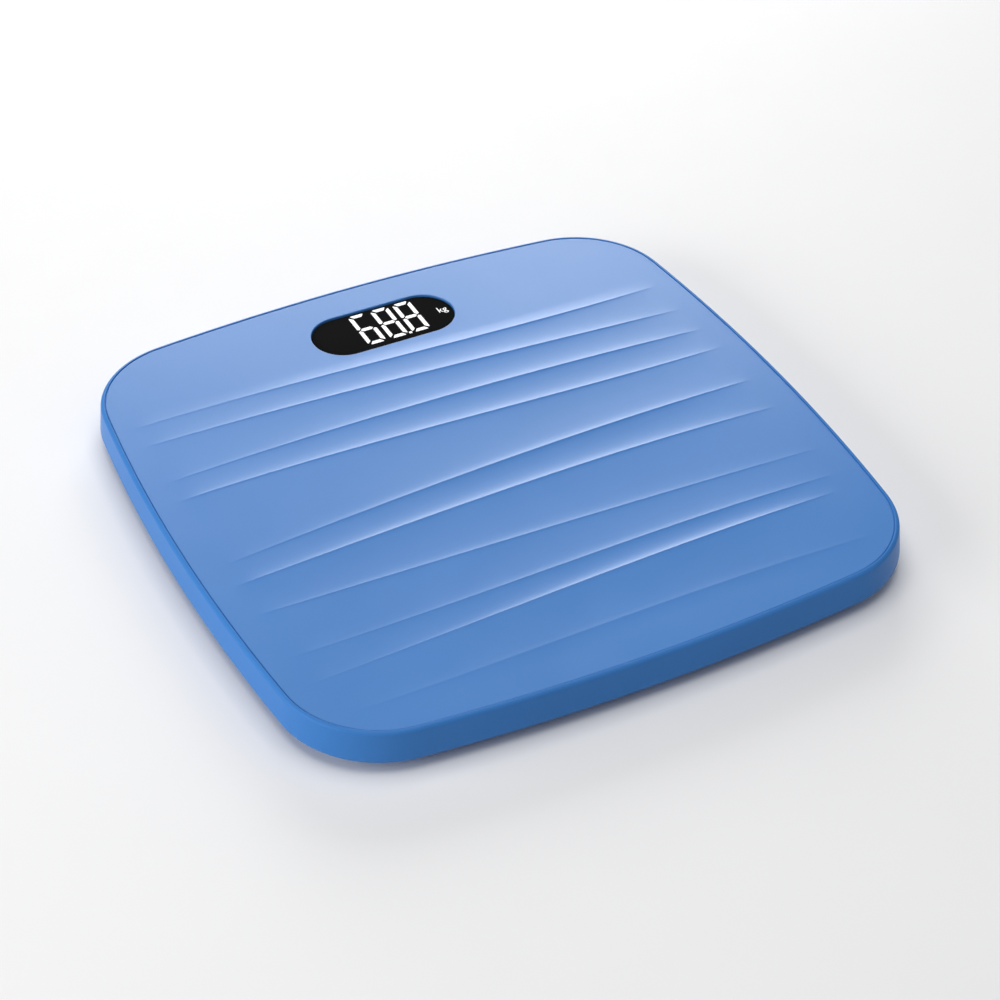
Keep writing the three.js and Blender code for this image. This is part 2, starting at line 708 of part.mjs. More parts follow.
function footPad() {
  const radius = FOOT.radius - FOOT.wall - GAP;
  const profile = [
    [0, 0],
    [radius - PAD.bevel, 0],
    [radius, PAD.bevel],
    [radius, PAD.thickness],
    [0, PAD.thickness],
  ];
  return turned(profile, 0, 0, BIG_ROUND);
}

function caseScrew() {
  const { head, crown, headHeight, crownHeight, recess, shank, length, point } = SCREW;
  const seat = SCREW_WELL.top - GAP;
  const bottom = seat - headHeight;
  const rim = bottom + crownHeight;
  const profile = [
    [0, rim],
    [recess, rim],
    [recess, bottom],
    [crown, bottom],
    [head, rim],
    [head, seat],
    [shank, seat],
    [shank, seat + length],
    [0, seat + length + point],
  ];
  return turned(profile, 0, 0, 12);
}

// ---- Cables ----

// Where a cell's lead leaves its housing and drops towards the tray's floor.
function leadStart(side, start, drift) {
  return [
    [side * 99.2, start, EXIT_LEVEL],
    [side * 89, start, EXIT_LEVEL],
    [side * 80, start, EXIT_LEVEL],
    [side * 70, start + drift, (EXIT_LEVEL + RUN_LEVEL) / 2],
  ];
}

// From a cell's housing at the back, round the switch, to the connector.
function backLead(side, start) {
  const round = side < 0 ? [[-60, 108], [-50, 97]] : [[62, 93], [52, 91]];
  return [
    ...leadStart(side, start, -1),
    ...round.map(([x, y]) => [x, y, RUN_LEVEL]),
    [side * 38, 91, RUN_LEVEL],
    [side * 20, 90.4, RUN_LEVEL],
    [side * 9.3, 90.4, RUN_LEVEL],
  ];
}

// From a cell's housing at the front, past the battery bay, to the connector.
function frontLead(side, start) {
  return [
    ...leadStart(side, start, 1),
    [side * 62, start + 8, RUN_LEVEL],
    [side * 50, -60, RUN_LEVEL],
    [side * 46, 0, RUN_LEVEL],
    [side * 46, 60, RUN_LEVEL],
    [side * 42, 81, RUN_LEVEL],
    [side * 28, 87.4, RUN_LEVEL],
    [side * 9.3, 87.6, RUN_LEVEL],
  ];
}

const POSITIVE_LEAD = [
  [-30.8, BATTERY_BACK_Y, 12],
  [-34.5, 69, 11],
  [-35, 75, 9],
  [-30, 80.6, RUN_LEVEL],
  [-8, 80.6, RUN_LEVEL],
  [-2, 82, RUN_LEVEL],
  [-1, 85.7, RUN_LEVEL],
];
const NEGATIVE_LEAD = [
  [-30.8, BATTERY_FRONT_Y, 12],
  [-37, 58, 11],
  [-39, 68, 9],
  [-37.5, 79, RUN_LEVEL],
  [-30, 83.4, RUN_LEVEL],
  [-10, 83.4, RUN_LEVEL],
  [-6.5, 84, RUN_LEVEL],
  [-6, 85.7, RUN_LEVEL],
];

// ---- Rating label: a blank sticker ----

function ratingLabel() {
  const top = TRAY_BOTTOM - GAP;
  const sides = around(LABEL.middleY, LABEL.halfWidth);
  return block(around(0, LABEL.halfLength), sides, [top - LABEL.thickness, top]);
}

// ---- Assembly ----

function piece(name, solid, finish) {
  const mesh = new THREE.Mesh(geometryOf(solid), material(...FINISH[finish]));
  mesh.name = name;
  return mesh;
}

function shells() {
  const group = new THREE.Group();
  group.add(piece("platform_panel", platformPanel(), "shell"));
  group.add(piece("base_tray", baseTray(), "shell"));
  group.add(piece("rating_label", ratingLabel(), "label"));
  SCREW_POSITIONS.forEach(([x, y], i) => {
    const screw = piece(`case_screw_${i + 1}`, caseScrew(), "steel");
    screw.position.set(x, y, 0);
    group.add(screw);
  });
  return group;
}

function display() {
  const group = new THREE.Group();
  group.add(piece("display_lens", displayLens(), "lens"));
  group.add(piece("display_frame", displayFrame(), "dark"));
  group.add(piece("display_module", displayModule(), "dark"));
  group.add(piece("main_board", mainBoard(), "board"));
  group.add(piece("controller_chip", controllerChip(), "dark"));
  group.add(piece("lead_connector", leadConnector(), "white"));
  group.add(piece("unit_switch", unitSwitch(), "dark"));
  group.add(piece("switch_plunger", switchPlunger(), "white"));
  group.add(piece("unit_button", unitButton(), "white"));
  return group;
}

function power() {
  const group = new THREE.Group();
  group.add(piece("battery_door", batteryDoor(), "shell"));
  group.add(piece("battery_front", battery(BATTERY_FRONT_Y, 1), "gold"));
  group.add(piece("battery_back", battery(BATTERY_BACK_Y, -1), "gold"));
  group.add(piece("battery_spring_front", batterySpring(BATTERY_FRONT_Y, -1), "steel"));
  group.add(piece("battery_spring_back", batterySpring(BATTERY_BACK_Y, 1), "steel"));
  const { halfWidth, bridgeHalfWidth } = CONTACT;
  const betweenBatteries = (BATTERY_FRONT_Y + BATTERY_BACK_Y) / 2;
  group.add(piece("battery_bridge", contactPlate(1, betweenBatteries, bridgeHalfWidth), "steel"));
  group.add(piece("battery_terminal_negative", contactPlate(-1, BATTERY_FRONT_Y, halfWidth), "steel"));
  group.add(piece("battery_terminal_positive", contactPlate(-1, BATTERY_BACK_Y, halfWidth), "steel"));
  group.add(piece("battery_lead_positive", cable(POSITIVE_LEAD, BATTERY_LEAD_RADIUS), "cable"));
  group.add(piece("battery_lead_negative", cable(NEGATIVE_LEAD, BATTERY_LEAD_RADIUS), "cable"));
  return group;
}

function corner(sideX, sideY) {
  const place = `${sideY > 0 ? "back" : "front"}_${sideX > 0 ? "right" : "left"}`;
  const group = new THREE.Group();
  group.add(piece(`load_cell_${place}`, loadCell(), "cell"));
  group.add(piece(`strain_gauge_${place}`, strainGauge(), "sealant"));
  group.add(piece(`cell_housing_${place}`, cellHousing(), "dark"));
  group.add(piece(`foot_cup_${place}`, footCup(), "shell"));
  group.add(piece(`foot_pad_${place}`, footPad(), "rubber"));
  group.position.set(sideX * FOOT_POSITION, sideY * FOOT_POSITION, 0);
  group.rotation.z = sideX > 0 ? Math.PI : 0;
  return group;
}

function cellLead(sideX, sideY) {
  const place = `${sideY > 0 ? "back" : "front"}_${sideX > 0 ? "right" : "left"}`;
  const start = sideY * FOOT_POSITION - sideX * GAUGE.y;
  const route = sideY > 0 ? backLead(sideX, start) : frontLead(sideX, start);
  return piece(`cell_lead_${place}`, cable(route, CELL_LEAD_RADIUS), "cable");
}

const scale = new THREE.Group();
scale.add(shells(), display(), power());
for (const sideX of [-1, 1]) {
  for (const sideY of [-1, 1]) {
    scale.add(corner(sideX, sideY), cellLead(sideX, sideY));
  }
}

export default scale;
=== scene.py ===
"""Looks of a low body scale with a wave-relief platform and a lit display, built round its CAD model.

Shapes are worked out in millimetres and turned into metres when a piece is made.
"""

import json
import math

import bmesh
import bpy
import numpy as np
from mathutils import Matrix, Vector
from mathutils.geometry import delaunay_2d_cdt


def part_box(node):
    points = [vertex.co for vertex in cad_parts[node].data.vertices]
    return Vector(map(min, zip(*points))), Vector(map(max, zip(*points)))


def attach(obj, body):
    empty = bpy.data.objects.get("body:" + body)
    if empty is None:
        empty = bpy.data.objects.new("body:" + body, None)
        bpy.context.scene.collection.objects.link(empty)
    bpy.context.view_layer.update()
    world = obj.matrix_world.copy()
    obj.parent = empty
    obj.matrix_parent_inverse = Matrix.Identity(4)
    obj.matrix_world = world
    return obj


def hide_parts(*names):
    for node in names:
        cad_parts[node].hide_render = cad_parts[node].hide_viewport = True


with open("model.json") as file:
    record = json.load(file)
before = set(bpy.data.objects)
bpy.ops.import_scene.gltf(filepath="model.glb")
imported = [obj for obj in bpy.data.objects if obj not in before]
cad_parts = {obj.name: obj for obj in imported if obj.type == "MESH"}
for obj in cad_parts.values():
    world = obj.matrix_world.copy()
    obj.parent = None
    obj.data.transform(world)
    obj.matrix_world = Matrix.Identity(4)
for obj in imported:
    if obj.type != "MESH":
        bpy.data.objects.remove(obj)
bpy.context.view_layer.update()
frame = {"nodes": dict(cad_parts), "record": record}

MM = 0.001


def mm_box(node):
    """Lowest and highest corner of a CAD node, in millimetres."""
    low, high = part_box(node)
    return np.array(low) / MM, np.array(high) / MM


# ---- Sizes, in millimetres ----

GAP = 0.3
tray_low, tray_high = mm_box("base_tray")
panel_high = mm_box("platform_panel")[1]
lens_low, lens_high = mm_box("display_lens")
door_low, door_high = mm_box("battery_door")

# Outline and section of the tray and the panel.
WALL_FLARE = 1.2
HALF_SIDE = tray_high[0] - WALL_FLARE
CORNER_RADIUS = 46.6
SIDE_BOW = 5.1
SIDE_STEPS = 56
CORNER_STEPS = 40
TRAY_BOTTOM = tray_low[2]
TRAY_FLOOR = TRAY_BOTTOM + 2.2
TOP = tray_high[2]
PANEL_TOP = TOP - 0.2
PANEL_UNDERSIDE = TOP - 2.6
LIP_WIDTH = 2.0
LEDGE_WIDTH = 1.8
PANEL_RIM = LIP_WIDTH + GAP
PANEL_EDGE_RADIUS = 0.45
TOP_EDGE_RADIUS = 1.8
LIP_EDGE_RADIUS = 0.15
BOTTOM_EDGE_RADIUS = 3.0
GROOVE_DEPTH = 0.5
SUPPORT = 0.35  # width of the band that joins a rounded edge to a flat face
TRAY_SHARP_ANGLE = 42  # degrees, above which an edge of the tray is shaded as sharp

# Window.
WINDOW_CENTRE = ((lens_low + lens_high) / 2)[:2]
LENS_FLANGE = 2.2
LENS_FLANGE_THICKNESS = 1.1
WINDOW_LENGTH = lens_high[0] - lens_low[0] - 2 * LENS_FLANGE
WINDOW_WIDTH = lens_high[1] - lens_low[1] - 2 * LENS_FLANGE
WINDOW_EDGE_RADIUS = 0.4
LENS_TOP = lens_high[2]
LENS_BEVEL = 0.2

# Wave relief: each crest's distance from the middle, and its height, at four stations across the platform.
CREST_STATIONS = (-120, -40, 40, 120)
CRESTS = (
    ((89.2, 87.4, 83.4, 82.4), (0.13, 0.5, 0.85, 0.33)),
    ((74, 71.1, 65.9, 61), (0.23, 0.72, 1.04, 0.35)),
    ((46.2, 47.8, 46, 42.2), (0.22, 0.7, 1.04, 0.42)),
    ((31.4, 30.2, 26.4, 24.3), (0.38, 0.82, 1.0, 0.44)),
    ((-16.4, -9.9, -5.8, -4.2), (0.2, 0.8, 1.1, 0.45)),
    ((-31.8, -27.8, -25.5, -26.5), (0.4, 0.95, 1.04, 0.32)),
    ((-54.1, -56.5, -58.9, -61.7), (0.25, 0.62, 0.55, 0.17)),
    ((-83.7, -82.9, -80.9, -81.1), (0.13, 0.52, 0.7, 0.16)),
    ((-101.2, -97.5, -94, -92.3), (0.12, 0.66, 1.0, 0.14)),
    ((-124, -123.4, -122.2, -124.2), (0.06, 0.24, 0.24, 0.06)),
)
RELIEF_HEIGHT = panel_high[2] - PANEL_TOP - 0.01  # of the tallest crest
RELIEF_HALF_WIDTH = 141
EDGE_FADE = 14  # length over which a crest sinks at the relief's sides
OUTER_FALL = 8.5
LIP_SHARE = 0.35  # share of a crest's height in the sharp lip behind it
LIP_LENGTH = 2.2
FRONT_SHARE = 0.2  # and in the short steep face in front of it
FRONT_LENGTH = 0.5
RELIEF_COLUMNS = 120
RELIEF_ROWS_BETWEEN = 24
RELIEF_OUTER_ROWS = 10

# Display reading.
DIGIT_HEIGHT = 25.4
DIGIT_WIDTH = 9.3
DIGIT_PITCH = 11.65
DIGIT_LEFT = -12.1
DIGIT_BOTTOM = 101.8
BAR_WIDTH = 2.0  # of the upright segments
BAR_HEIGHT = 2.2  # of the level segments
SEGMENT_GAP = 1.0
CORNER_CUT = 1.7
NOTCH_CUT = 1.0  # where two upright segments meet at mid height
SEGMENT_PROUD = 0.04
SEGMENT_DEPTH = 0.3
POINT_SIDE = 1.5
SHOWN = ("acdefg", "abcdefg", "abcdefg")
UNIT_LEFT, UNIT_BOTTOM = 29.2, 111.1
UNIT_SIZE, UNIT_NARROWING = 6.0, 0.92

# Underside.
PLACES = ("front_left", "front_right", "back_left", "back_right")
HOLE_SIDES = 72
FOOT_HOLE_RADIUS = 17.3
COLLAR = ((20.4, 0.0), (20.1, 0.3), (18.2, 0.3), (17.9, 0.0))  # ring round a foot: radius, height
BUTTON_HOLE_RADIUS = 5.3
SCREW_COUNT = 8
SCREW_WELL_RADIUS = 3.6
SCREW_WELL_TOP = 9.0
SCREW_BOSS_RADIUS = 5.5
SCREW_BOSS_TOP = 11.0
FOOT_RADIUS = 16.5
FOOT_WALL = 1.7
SOLE_RINGS = 3
SOLE_CENTRE = 3.3  # radius of the groove in the middle of a sole
SOLE_PITCH = 3.4  # from one ring of a sole to the next
SOLE_GROOVE = 0.5  # depth of the grooves
FOOT_SEAT = 2.5  # level of the pad's seat in the cup
FOOT_FLOOR = 4.3
FOOT_STUD = 4.0  # radius of the stud above the cup
FOOT_FLANGE = 1.0  # thickness

# Battery bay and door.
BAY_HALF_LENGTH = 26.0
BAY_FRONT = 47.7
BAY_BACK = 73.5
BAY_TOP = 16.9
BAY_END_WALL = 4.5
BAY_SIDE_WALL = 1.9
DOOR_HALF_LENGTH = 28.0
DOOR_FRONT = door_low[1]
DOOR_BACK = door_high[1]
DOOR_TOP = TRAY_BOTTOM + 1.5
HINGE_Y, HINGE_Z = 75.2, 5.8
BARREL_RADIUS, STUB_RADIUS, STUB_HOLE_RADIUS = 1.3, 0.6, 0.9
STUB_END = door_high[0]
LATCH_HALF = 5.0
NOTCH_HALF, NOTCH_REACH, NOTCH_DEPTH = 8.0, 5.0, 1.2
GRIP_GROOVES = 5
BATTERY_RADIUS = 5.15
BATTERY_LENGTH = 43.5
BATTERY_NUB = 1.9
BATTERY_NUB_LENGTH = 1.0
WIRE_RADIUS = 0.35
COIL_TURNS = 3


# ---- Mesh building ----


class Builder:
    """Gathers the points and faces of one closed mesh, in millimetres."""

    def __init__(self):
        self.points = []
        self.faces = []

    def loop(self, points):
        """Adds points and returns their indices."""
        first = len(self.points)
        self.points.extend(tuple(map(float, p)) for p in points)
        return list(range(first, len(self.points)))

    def bridge(self, a, b):
        """A band of quads between two closed loops of the same length."""
        count = len(a)
        for i in range(count):
            j = (i + 1) % count
            self.faces.append((a[i], a[j], b[j], b[i]))

    def tower(self, loops):
        """Bands between each loop and the next."""
        for a, b in zip(loops, loops[1:]):
            self.bridge(a, b)

    def cap(self, loop):
        self.faces.append(tuple(loop))

    def fan(self, loop, point):
        """Triangles from a closed loop to one new point."""
        (tip,) = self.loop([point])
        for i, a in enumerate(loop):
            self.faces.append((a, loop[(i + 1) % len(loop)], tip))

    def plate(self, outer, holes):
        """Flat triangles inside the outer loop and outside the hole loops."""
        loops = [outer, *holes]
        indices = [i for loop in loops for i in loop]
        flat = [Vector(self.points[i][:2]) for i in indices]
        edges = []
        start = 0
        for loop in loops:
            edges += [(start + i, start + (i + 1) % len(loop)) for i in range(len(loop))]
            start += len(loop)
        points, _, triangles, origins, _, _ = delaunay_2d_cdt(flat, edges, [], 1, 1e-7)
        outlines = [np.array([self.points[i][:2] for i in loop]) for loop in loops]
        corners = np.array([[points[i] for i in t] for t in triangles])
        middles = corners.mean(axis=1)
        keep = inside(middles, outlines[0])
        for hole in outlines[1:]:
            keep &= ~inside(middles, hole)
        for triangle in np.array(triangles)[keep]:
            self.faces.append(tuple(indices[origins[i][0]] for i in triangle))

    def object(self, name, material, smooth=True, sharp_angle=40):
        """The finished piece, in metres, with its faces turned outwards."""
        mesh = bpy.data.meshes.new(name)
        mesh.from_pydata([(x * MM, y * MM, z * MM) for x, y, z in self.points], [], self.faces)
        mesh.validate()
        finish_mesh(mesh, smooth, sharp_angle)
        piece = bpy.data.objects.new(name, mesh)
        bpy.context.scene.collection.objects.link(piece)
        mesh.materials.append(material)
        return piece


def finish_mesh(mesh, smooth, sharp_angle):
    """Turns the faces outwards, then shades smoothly up to the given angle."""
    work = bmesh.new()
    work.from_mesh(mesh)
    bmesh.ops.recalc_face_normals(work, faces=work.faces)
    for face in work.faces:
        face.smooth = smooth
    limit = math.radians(sharp_angle)
    for edge in work.edges:
        edge.smooth = len(edge.link_faces) == 2 and edge.calc_face_angle(0) < limit
    work.to_mesh(mesh)
    work.free()


def carve(piece, cutters):
    """Cuts closed pieces out of another, and removes them."""
    for cutter in cutters:
        step = piece.modifiers.new("cut", "BOOLEAN")
        step.operation = "DIFFERENCE"
        step.solver = "EXACT"
        step.object = cutter
    seen = piece.evaluated_get(bpy.context.evaluated_depsgraph_get())
    mesh = bpy.data.meshes.new_from_object(seen)
    piece.modifiers.clear()
    piece.data = mesh
    for cutter in cutters:
        bpy.data.objects.remove(cutter)


def inside(points, outline):
    """Which points lie inside a closed outline."""
    found = np.zeros(len(points), bool)
    for (x0, y0), (x1, y1) in zip(outline, np.roll(outline, -1, axis=0)):
        crosses = (y0 > points[:, 1]) != (y1 > points[:, 1])
        rise = y1 - y0 if y1 != y0 else 1
        found ^= crosses & (points[:, 0] < x0 + (points[:, 1] - y0) * (x1 - x0) / rise)
    return found


def circle(x, y, radius, z, sides):
    angles = [2 * math.pi * i / sides for i in range(sides)]
    return [(x + radius * math.cos(a), y + radius * math.sin(a), z) for a in angles]


def rectangle(x0, x1, y0, y1, z, radius=0.5, steps=4):
    """A rectangle with round corners."""
    left, right, front, back = x0 + radius, x1 - radius, y0 + radius, y1 - radius
    points = []
    for turn, (cx, cy) in enumerate(((right, back), (left, back), (left, front), (right, front))):
        for i in range(steps + 1):
            angle = math.pi / 2 * (turn + i / steps)
            points.append((cx + radius * math.cos(angle), cy + radius * math.sin(angle), z))
    return points


def quarter(inset, z, radius, start, end, steps):
    """Points [inset, z] of an arc about (inset, z): 0 degrees points outwards and 90 up."""
    angles = np.radians(np.linspace(start, end, steps + 1))
    return [(inset - radius * math.cos(a), z + radius * math.sin(a)) for a in angles]


def turned(name, profile, x, y, material, sides=96):
    """An upright turned piece from [radius, z] points that start and end on the axis."""
    build = Builder()
    loops = [build.loop(circle(x, y, radius, z, sides)) for radius, z in profile[1:-1]]
    build.tower(loops)
    build.fan(loops[0], (x, y, profile[0][1]))
    build.fan(loops[-1], (x, y, profile[-1][1]))
    return build.object(name, material)


def prism(build, outline_points, low, high):
    """An upright solid on an outline of [x, y] points."""
    a = build.loop([(x, y, low) for x, y in outline_points])
    b = build.loop([(x, y, high) for x, y in outline_points])
    build.tower([a, b])
    build.cap(a)
    build.cap(b)


def lying(build, profile, y, z, sides=48):
    """A closed solid turned round an axis along X, from [x, radius] points. Both ends are on the axis."""
    loops = []
    for x, radius in profile[1:-1]:
        angles = [2 * math.pi * i / sides for i in range(sides)]
        loops.append(build.loop([(x, y + radius * math.cos(t), z + radius * math.sin(t)) for t in angles]))
    build.tower(loops)
    build.fan(loops[0], (profile[0][0], y, z))
    build.fan(loops[-1], (profile[-1][0], y, z))


def slab(build, sides, levels, bevel=0.2, radius=0.5):
    """A rounded upright block [x0, x1, y0, y1] with bevelled edges between two levels."""
    x0, x1, y0, y1 = sides
    low, high = levels
    small = (x0 + bevel, x1 - bevel, y0 + bevel, y1 - bevel)
    loops = [
        build.loop(rectangle(*small, low, radius - bevel / 2)),
        build.loop(rectangle(*sides, low + bevel, radius)),
        build.loop(rectangle(*sides, high - bevel, radius)),
        build.loop(rectangle(*small, high, radius - bevel / 2)),
    ]
    build.tower(loops)
    build.cap(loops[0])
    build.cap(loops[-1])


# ---- Outline of the platform ----


def outline_stations():
    """Stations round the outline: arc centre, arc radius and direction."""
    middle = HALF_SIDE - CORNER_RADIUS
    corner = middle - SIDE_BOW
    bow_radius = (corner**2 + SIDE_BOW**2) / (2 * SIDE_BOW)
    half_angle = math.asin(corner / bow_radius)
    stations = []
    for side in range(4):
        turn = side * math.pi / 2
        c, s = math.cos(turn), math.sin(turn)
        x = middle - bow_radius
        for i in range(SIDE_STEPS):
            angle = half_angle * (2 * i / SIDE_STEPS - 1) + turn
            stations.append((x * c, x * s, bow_radius + CORNER_RADIUS, angle))
        for i in range(CORNER_STEPS):
            angle = half_angle + (math.pi / 2 - 2 * half_angle) * i / CORNER_STEPS + turn
            stations.append((corner * (c - s), corner * (s + c), CORNER_RADIUS, angle))
    return stations


STATIONS = outline_stations()


def outline(inset, z):
    return [
        (x + (radius - inset) * math.cos(a), y + (radius - inset) * math.sin(a), z)
        for x, y, radius, a in STATIONS
    ]


def window(grow, z, steps=28):
    """The window's outline, grown outwards."""
    radius = WINDOW_WIDTH / 2 + grow
    straight = (WINDOW_LENGTH - WINDOW_WIDTH) / 2
    points = []
    for side, start in ((1, -90), (-1, 90)):
        for i in range(steps + 1):
            angle = math.radians(start + 180 * i / steps)
            x = WINDOW_CENTRE[0] + side * straight + radius * math.cos(angle)
            points.append((x, WINDOW_CENTRE[1] + radius * math.sin(angle), z))
    return points


# ---- Wave relief ----


def along(values, x):
    """The cubic through a value's four stations, at x."""
    total = 0
    for i, here in enumerate(CREST_STATIONS):
        weight = 1
        for j, other in enumerate(CREST_STATIONS):
            if j != i:
                weight = weight * (x - other) / (here - other)
        total = total + weight * values[i]
    return total


def back_flank(distance, width):
    """Height share behind a crest: a sharp lip on a hollow that flattens out."""
    rest = np.clip(1 - distance / width, 0, 1)
    return (1 - LIP_SHARE) * rest**1.5 + LIP_SHARE * np.exp(-distance / LIP_LENGTH) * rest


def front_flank(distance, width):
    """Height share in front of a crest: a long gentle rise that ends in a short steep face."""
    gone = np.clip(1 - distance / width, 0, 1)
    return (1 - FRONT_SHARE) * gone**2 + FRONT_SHARE * np.exp(-distance / FRONT_LENGTH) * gone


def row_half_width(y):
    """Half the relief's width at a row: it keeps clear of the panel's round corners."""
    corner = HALF_SIDE - CORNER_RADIUS - SIDE_BOW
    reach = CORNER_RADIUS - PANEL_RIM - 1
    over = max(abs(y) - corner, 0)
    return min(RELIEF_HALF_WIDTH, corner + math.sqrt(max(reach**2 - over**2, 0)) - 4)


def before_first(x, place):
    """A point of the slope up to the nearest crest."""
    line, heights = CRESTS[-1]
    distance = OUTER_FALL * (1 - place)
    return along(line, x) - distance, along(heights, x) * front_flank(distance, OUTER_FALL)


def behind_last(x, place):
    """A point of the slope down from the furthest crest."""
    line, heights = CRESTS[0]
    distance = OUTER_FALL * place
    return along(line, x) + distance, along(heights, x) * back_flank(distance, OUTER_FALL)


def between(x, place, near, far):
    """A point of the hollow between two crests, at a share of the way from the near one to the far one."""
    start = along(near[0], x)
    width = along(far[0], x) - start
    fallen = along(near[1], x) * back_flank(place * width, width)
    risen = along(far[1], x) * front_flank((1 - place) * width, width)
    return start + place * width, fallen + risen


def relief_rows(x):
    """The relief's rows from front to back, as [y, height] at each x."""
    rows = [before_first(x, i / RELIEF_OUTER_ROWS) for i in range(RELIEF_OUTER_ROWS)]
    crests = CRESTS[::-1]
    for near, far in zip(crests, crests[1:]):
        for i in range(RELIEF_ROWS_BETWEEN):
            rows.append(between(x, (1 - math.cos(math.pi * i / RELIEF_ROWS_BETWEEN)) / 2, near, far))
    for i in range(RELIEF_OUTER_ROWS + 1):
        rows.append(behind_last(x, (i / RELIEF_OUTER_ROWS) ** 1.5))
    return rows


def relief_grid():
    """Rows of points of the relief, its border level with the flat panel."""
    columns = np.linspace(-1, 1, RELIEF_COLUMNS + 1)
    grid = []
    for i, (middle, _) in enumerate(relief_rows(0.0)):
        half = row_half_width(middle)
        x = columns * half
        y, height = relief_rows(x)[i]
        edge = np.clip((half - np.abs(x)) / EDGE_FADE, 0, 1)
        grid.append(np.stack([x, y, np.maximum(height, 0) * edge**2 * (3 - 2 * edge)], axis=1))
    grid[0][:, 2] = 0
    grid[-1][:, 2] = 0
    tallest = max(row[:, 2].max() for row in grid)
    for row in grid:
        row[:, 2] = PANEL_TOP + row[:, 2] * RELIEF_HEIGHT / tallest
    return grid


# ---- Materials ----


def new_material(name):
    material = bpy.data.materials.new(name)
    material.use_nodes = True
    nodes = material.node_tree.nodes
    shader = nodes["Principled BSDF"]
    place = nodes.new("ShaderNodeTexCoord")
    return material, material.node_tree, shader, place


def noise(tree, place, scale, detail=2.0):
    node = tree.nodes.new("ShaderNodeTexNoise")
    node.inputs["Scale"].default_value = scale
    node.inputs["Detail"].default_value = detail
    tree.links.new(place.outputs["Object"], node.inputs["Vector"])
    return node


def spread(tree, source, low, high):
    """Turns a 0 to 1 value into a range."""
    node = tree.nodes.new("ShaderNodeMapRange")
    node.inputs["To Min"].default_value = low
    node.inputs["To Max"].default_value = high
    tree.links.new(source, node.inputs["Value"])
    return node.outputs["Result"]


def bump(tree, shader, source, strength, distance):
    node = tree.nodes.new("ShaderNodeBump")
    node.inputs["Strength"].default_value = strength
    node.inputs["Distance"].default_value = distance
    tree.links.new(source, node.inputs["Height"])
    tree.links.new(node.outputs["Normal"], shader.inputs["Normal"])


def moulded(
    name, color, roughness, grain=2600, grain_depth=0.00003, variation=0.05, metallic=0.0, specular=0.5
):
    """Moulded plastic, rubber or plated metal: a fine grain, uneven gloss and a slight drift of colour."""
    material, tree, shader, place = new_material(name)
    drift = noise(tree, place, 14, 3)
    mix = tree.nodes.new("ShaderNodeMix")
    mix.data_type = "RGBA"
    low = [c * (1 - variation) for c in color]
    high = [min(c * (1 + variation), 1) for c in color]
    mix.inputs["A"].default_value = (*low, 1)
    mix.inputs["B"].default_value = (*high, 1)
    tree.links.new(drift.outputs["Fac"], mix.inputs["Factor"])
    tree.links.new(mix.outputs["Result"], shader.inputs["Base Color"])
    patches = noise(tree, place, 60, 4)
    gloss = spread(tree, patches.outputs["Fac"], roughness * 0.9, roughness * 1.1)
    tree.links.new(gloss, shader.inputs["Roughness"])
    spark = noise(tree, place, grain, 2)
    bump(tree, shader, spark.outputs["Fac"], 0.35, grain_depth)
    shader.inputs["Metallic"].default_value = metallic
    shader.inputs["Specular IOR Level"].default_value = specular
    return material


def lit(name, color, strength):
    """A display segment: lit from behind, under the window's gloss."""
    material, tree, shader, place = new_material(name)
    glow = noise(tree, place, 900, 1)
    mix = tree.nodes.new("ShaderNodeMix")
    mix.data_type = "RGBA"
    mix.inputs["A"].default_value = (*[c * 0.96 for c in color], 1)
    mix.inputs["B"].default_value = (*color, 1)
    tree.links.new(glow.outputs["Fac"], mix.inputs["Factor"])
    tree.links.new(mix.outputs["Result"], shader.inputs["Emission Color"])
    shader.inputs["Base Color"].default_value = (0.05, 0.05, 0.05, 1)
    shader.inputs["Emission Strength"].default_value = strength
    shader.inputs["Roughness"].default_value = 0.3
    return material


BLUE = (0.052, 0.215, 0.578)
MATERIALS = {
    "shell_plastic": moulded("shell_plastic", BLUE, 0.34),
    "tray_plastic": moulded("tray_plastic", BLUE, 0.36, specular=0.1),
    "segment_light": lit("segment_light", (1.0, 1.0, 1.0), 1.0),
    "foot_plastic": moulded("foot_plastic", (0.07, 0.18, 0.42), 0.5),
    "lens_acrylic": moulded("lens_acrylic", (0.0105, 0.0105, 0.0105), 0.28, 400, 0.000001, specular=0.0),
    "display_black": moulded("display_black", (0.01, 0.01, 0.011), 0.6),
    "component_black": moulded("component_black", (0.015, 0.015, 0.016), 0.55),
    "circuit_board": moulded("circuit_board", (0.01, 0.12, 0.035), 0.4, 900, 0.00002, 0.15),
    "white_plastic": moulded("white_plastic", (0.78, 0.77, 0.73), 0.5),
    "button_plastic": moulded("button_plastic", (0.5, 0.51, 0.52), 0.45),
    "battery_jacket": moulded("battery_jacket", (0.03, 0.03, 0.032), 0.25, 300, 0.00001),
    "cable_jacket": moulded("cable_jacket", (0.62, 0.62, 0.6), 0.5),
    "plated_contact": moulded("plated_contact", (0.62, 0.61, 0.58), 0.28, 1500, 0.00001, 0.05, 1.0),
    "screw_steel": moulded("screw_steel", (0.5, 0.5, 0.51), 0.32, 1500, 0.00001, 0.05, 1.0),
    "housing_plastic": moulded("housing_plastic", (0.04, 0.04, 0.042), 0.55),
    "pad_rubber": moulded("pad_rubber", (0.035, 0.037, 0.04), 0.8, 1800, 0.00006, 0.1),
    "cell_steel": moulded("cell_steel", (0.10, 0.16, 0.28), 0.4, 700, 0.00003, 0.1, 0.6),
    "gauge_sealant": moulded("gauge_sealant", (0.72, 0.70, 0.64), 0.6, 500, 0.0001, 0.08),
    "label_film": moulded("label_film", (0.55, 0.56, 0.58), 0.35, 900, 0.00001),
}


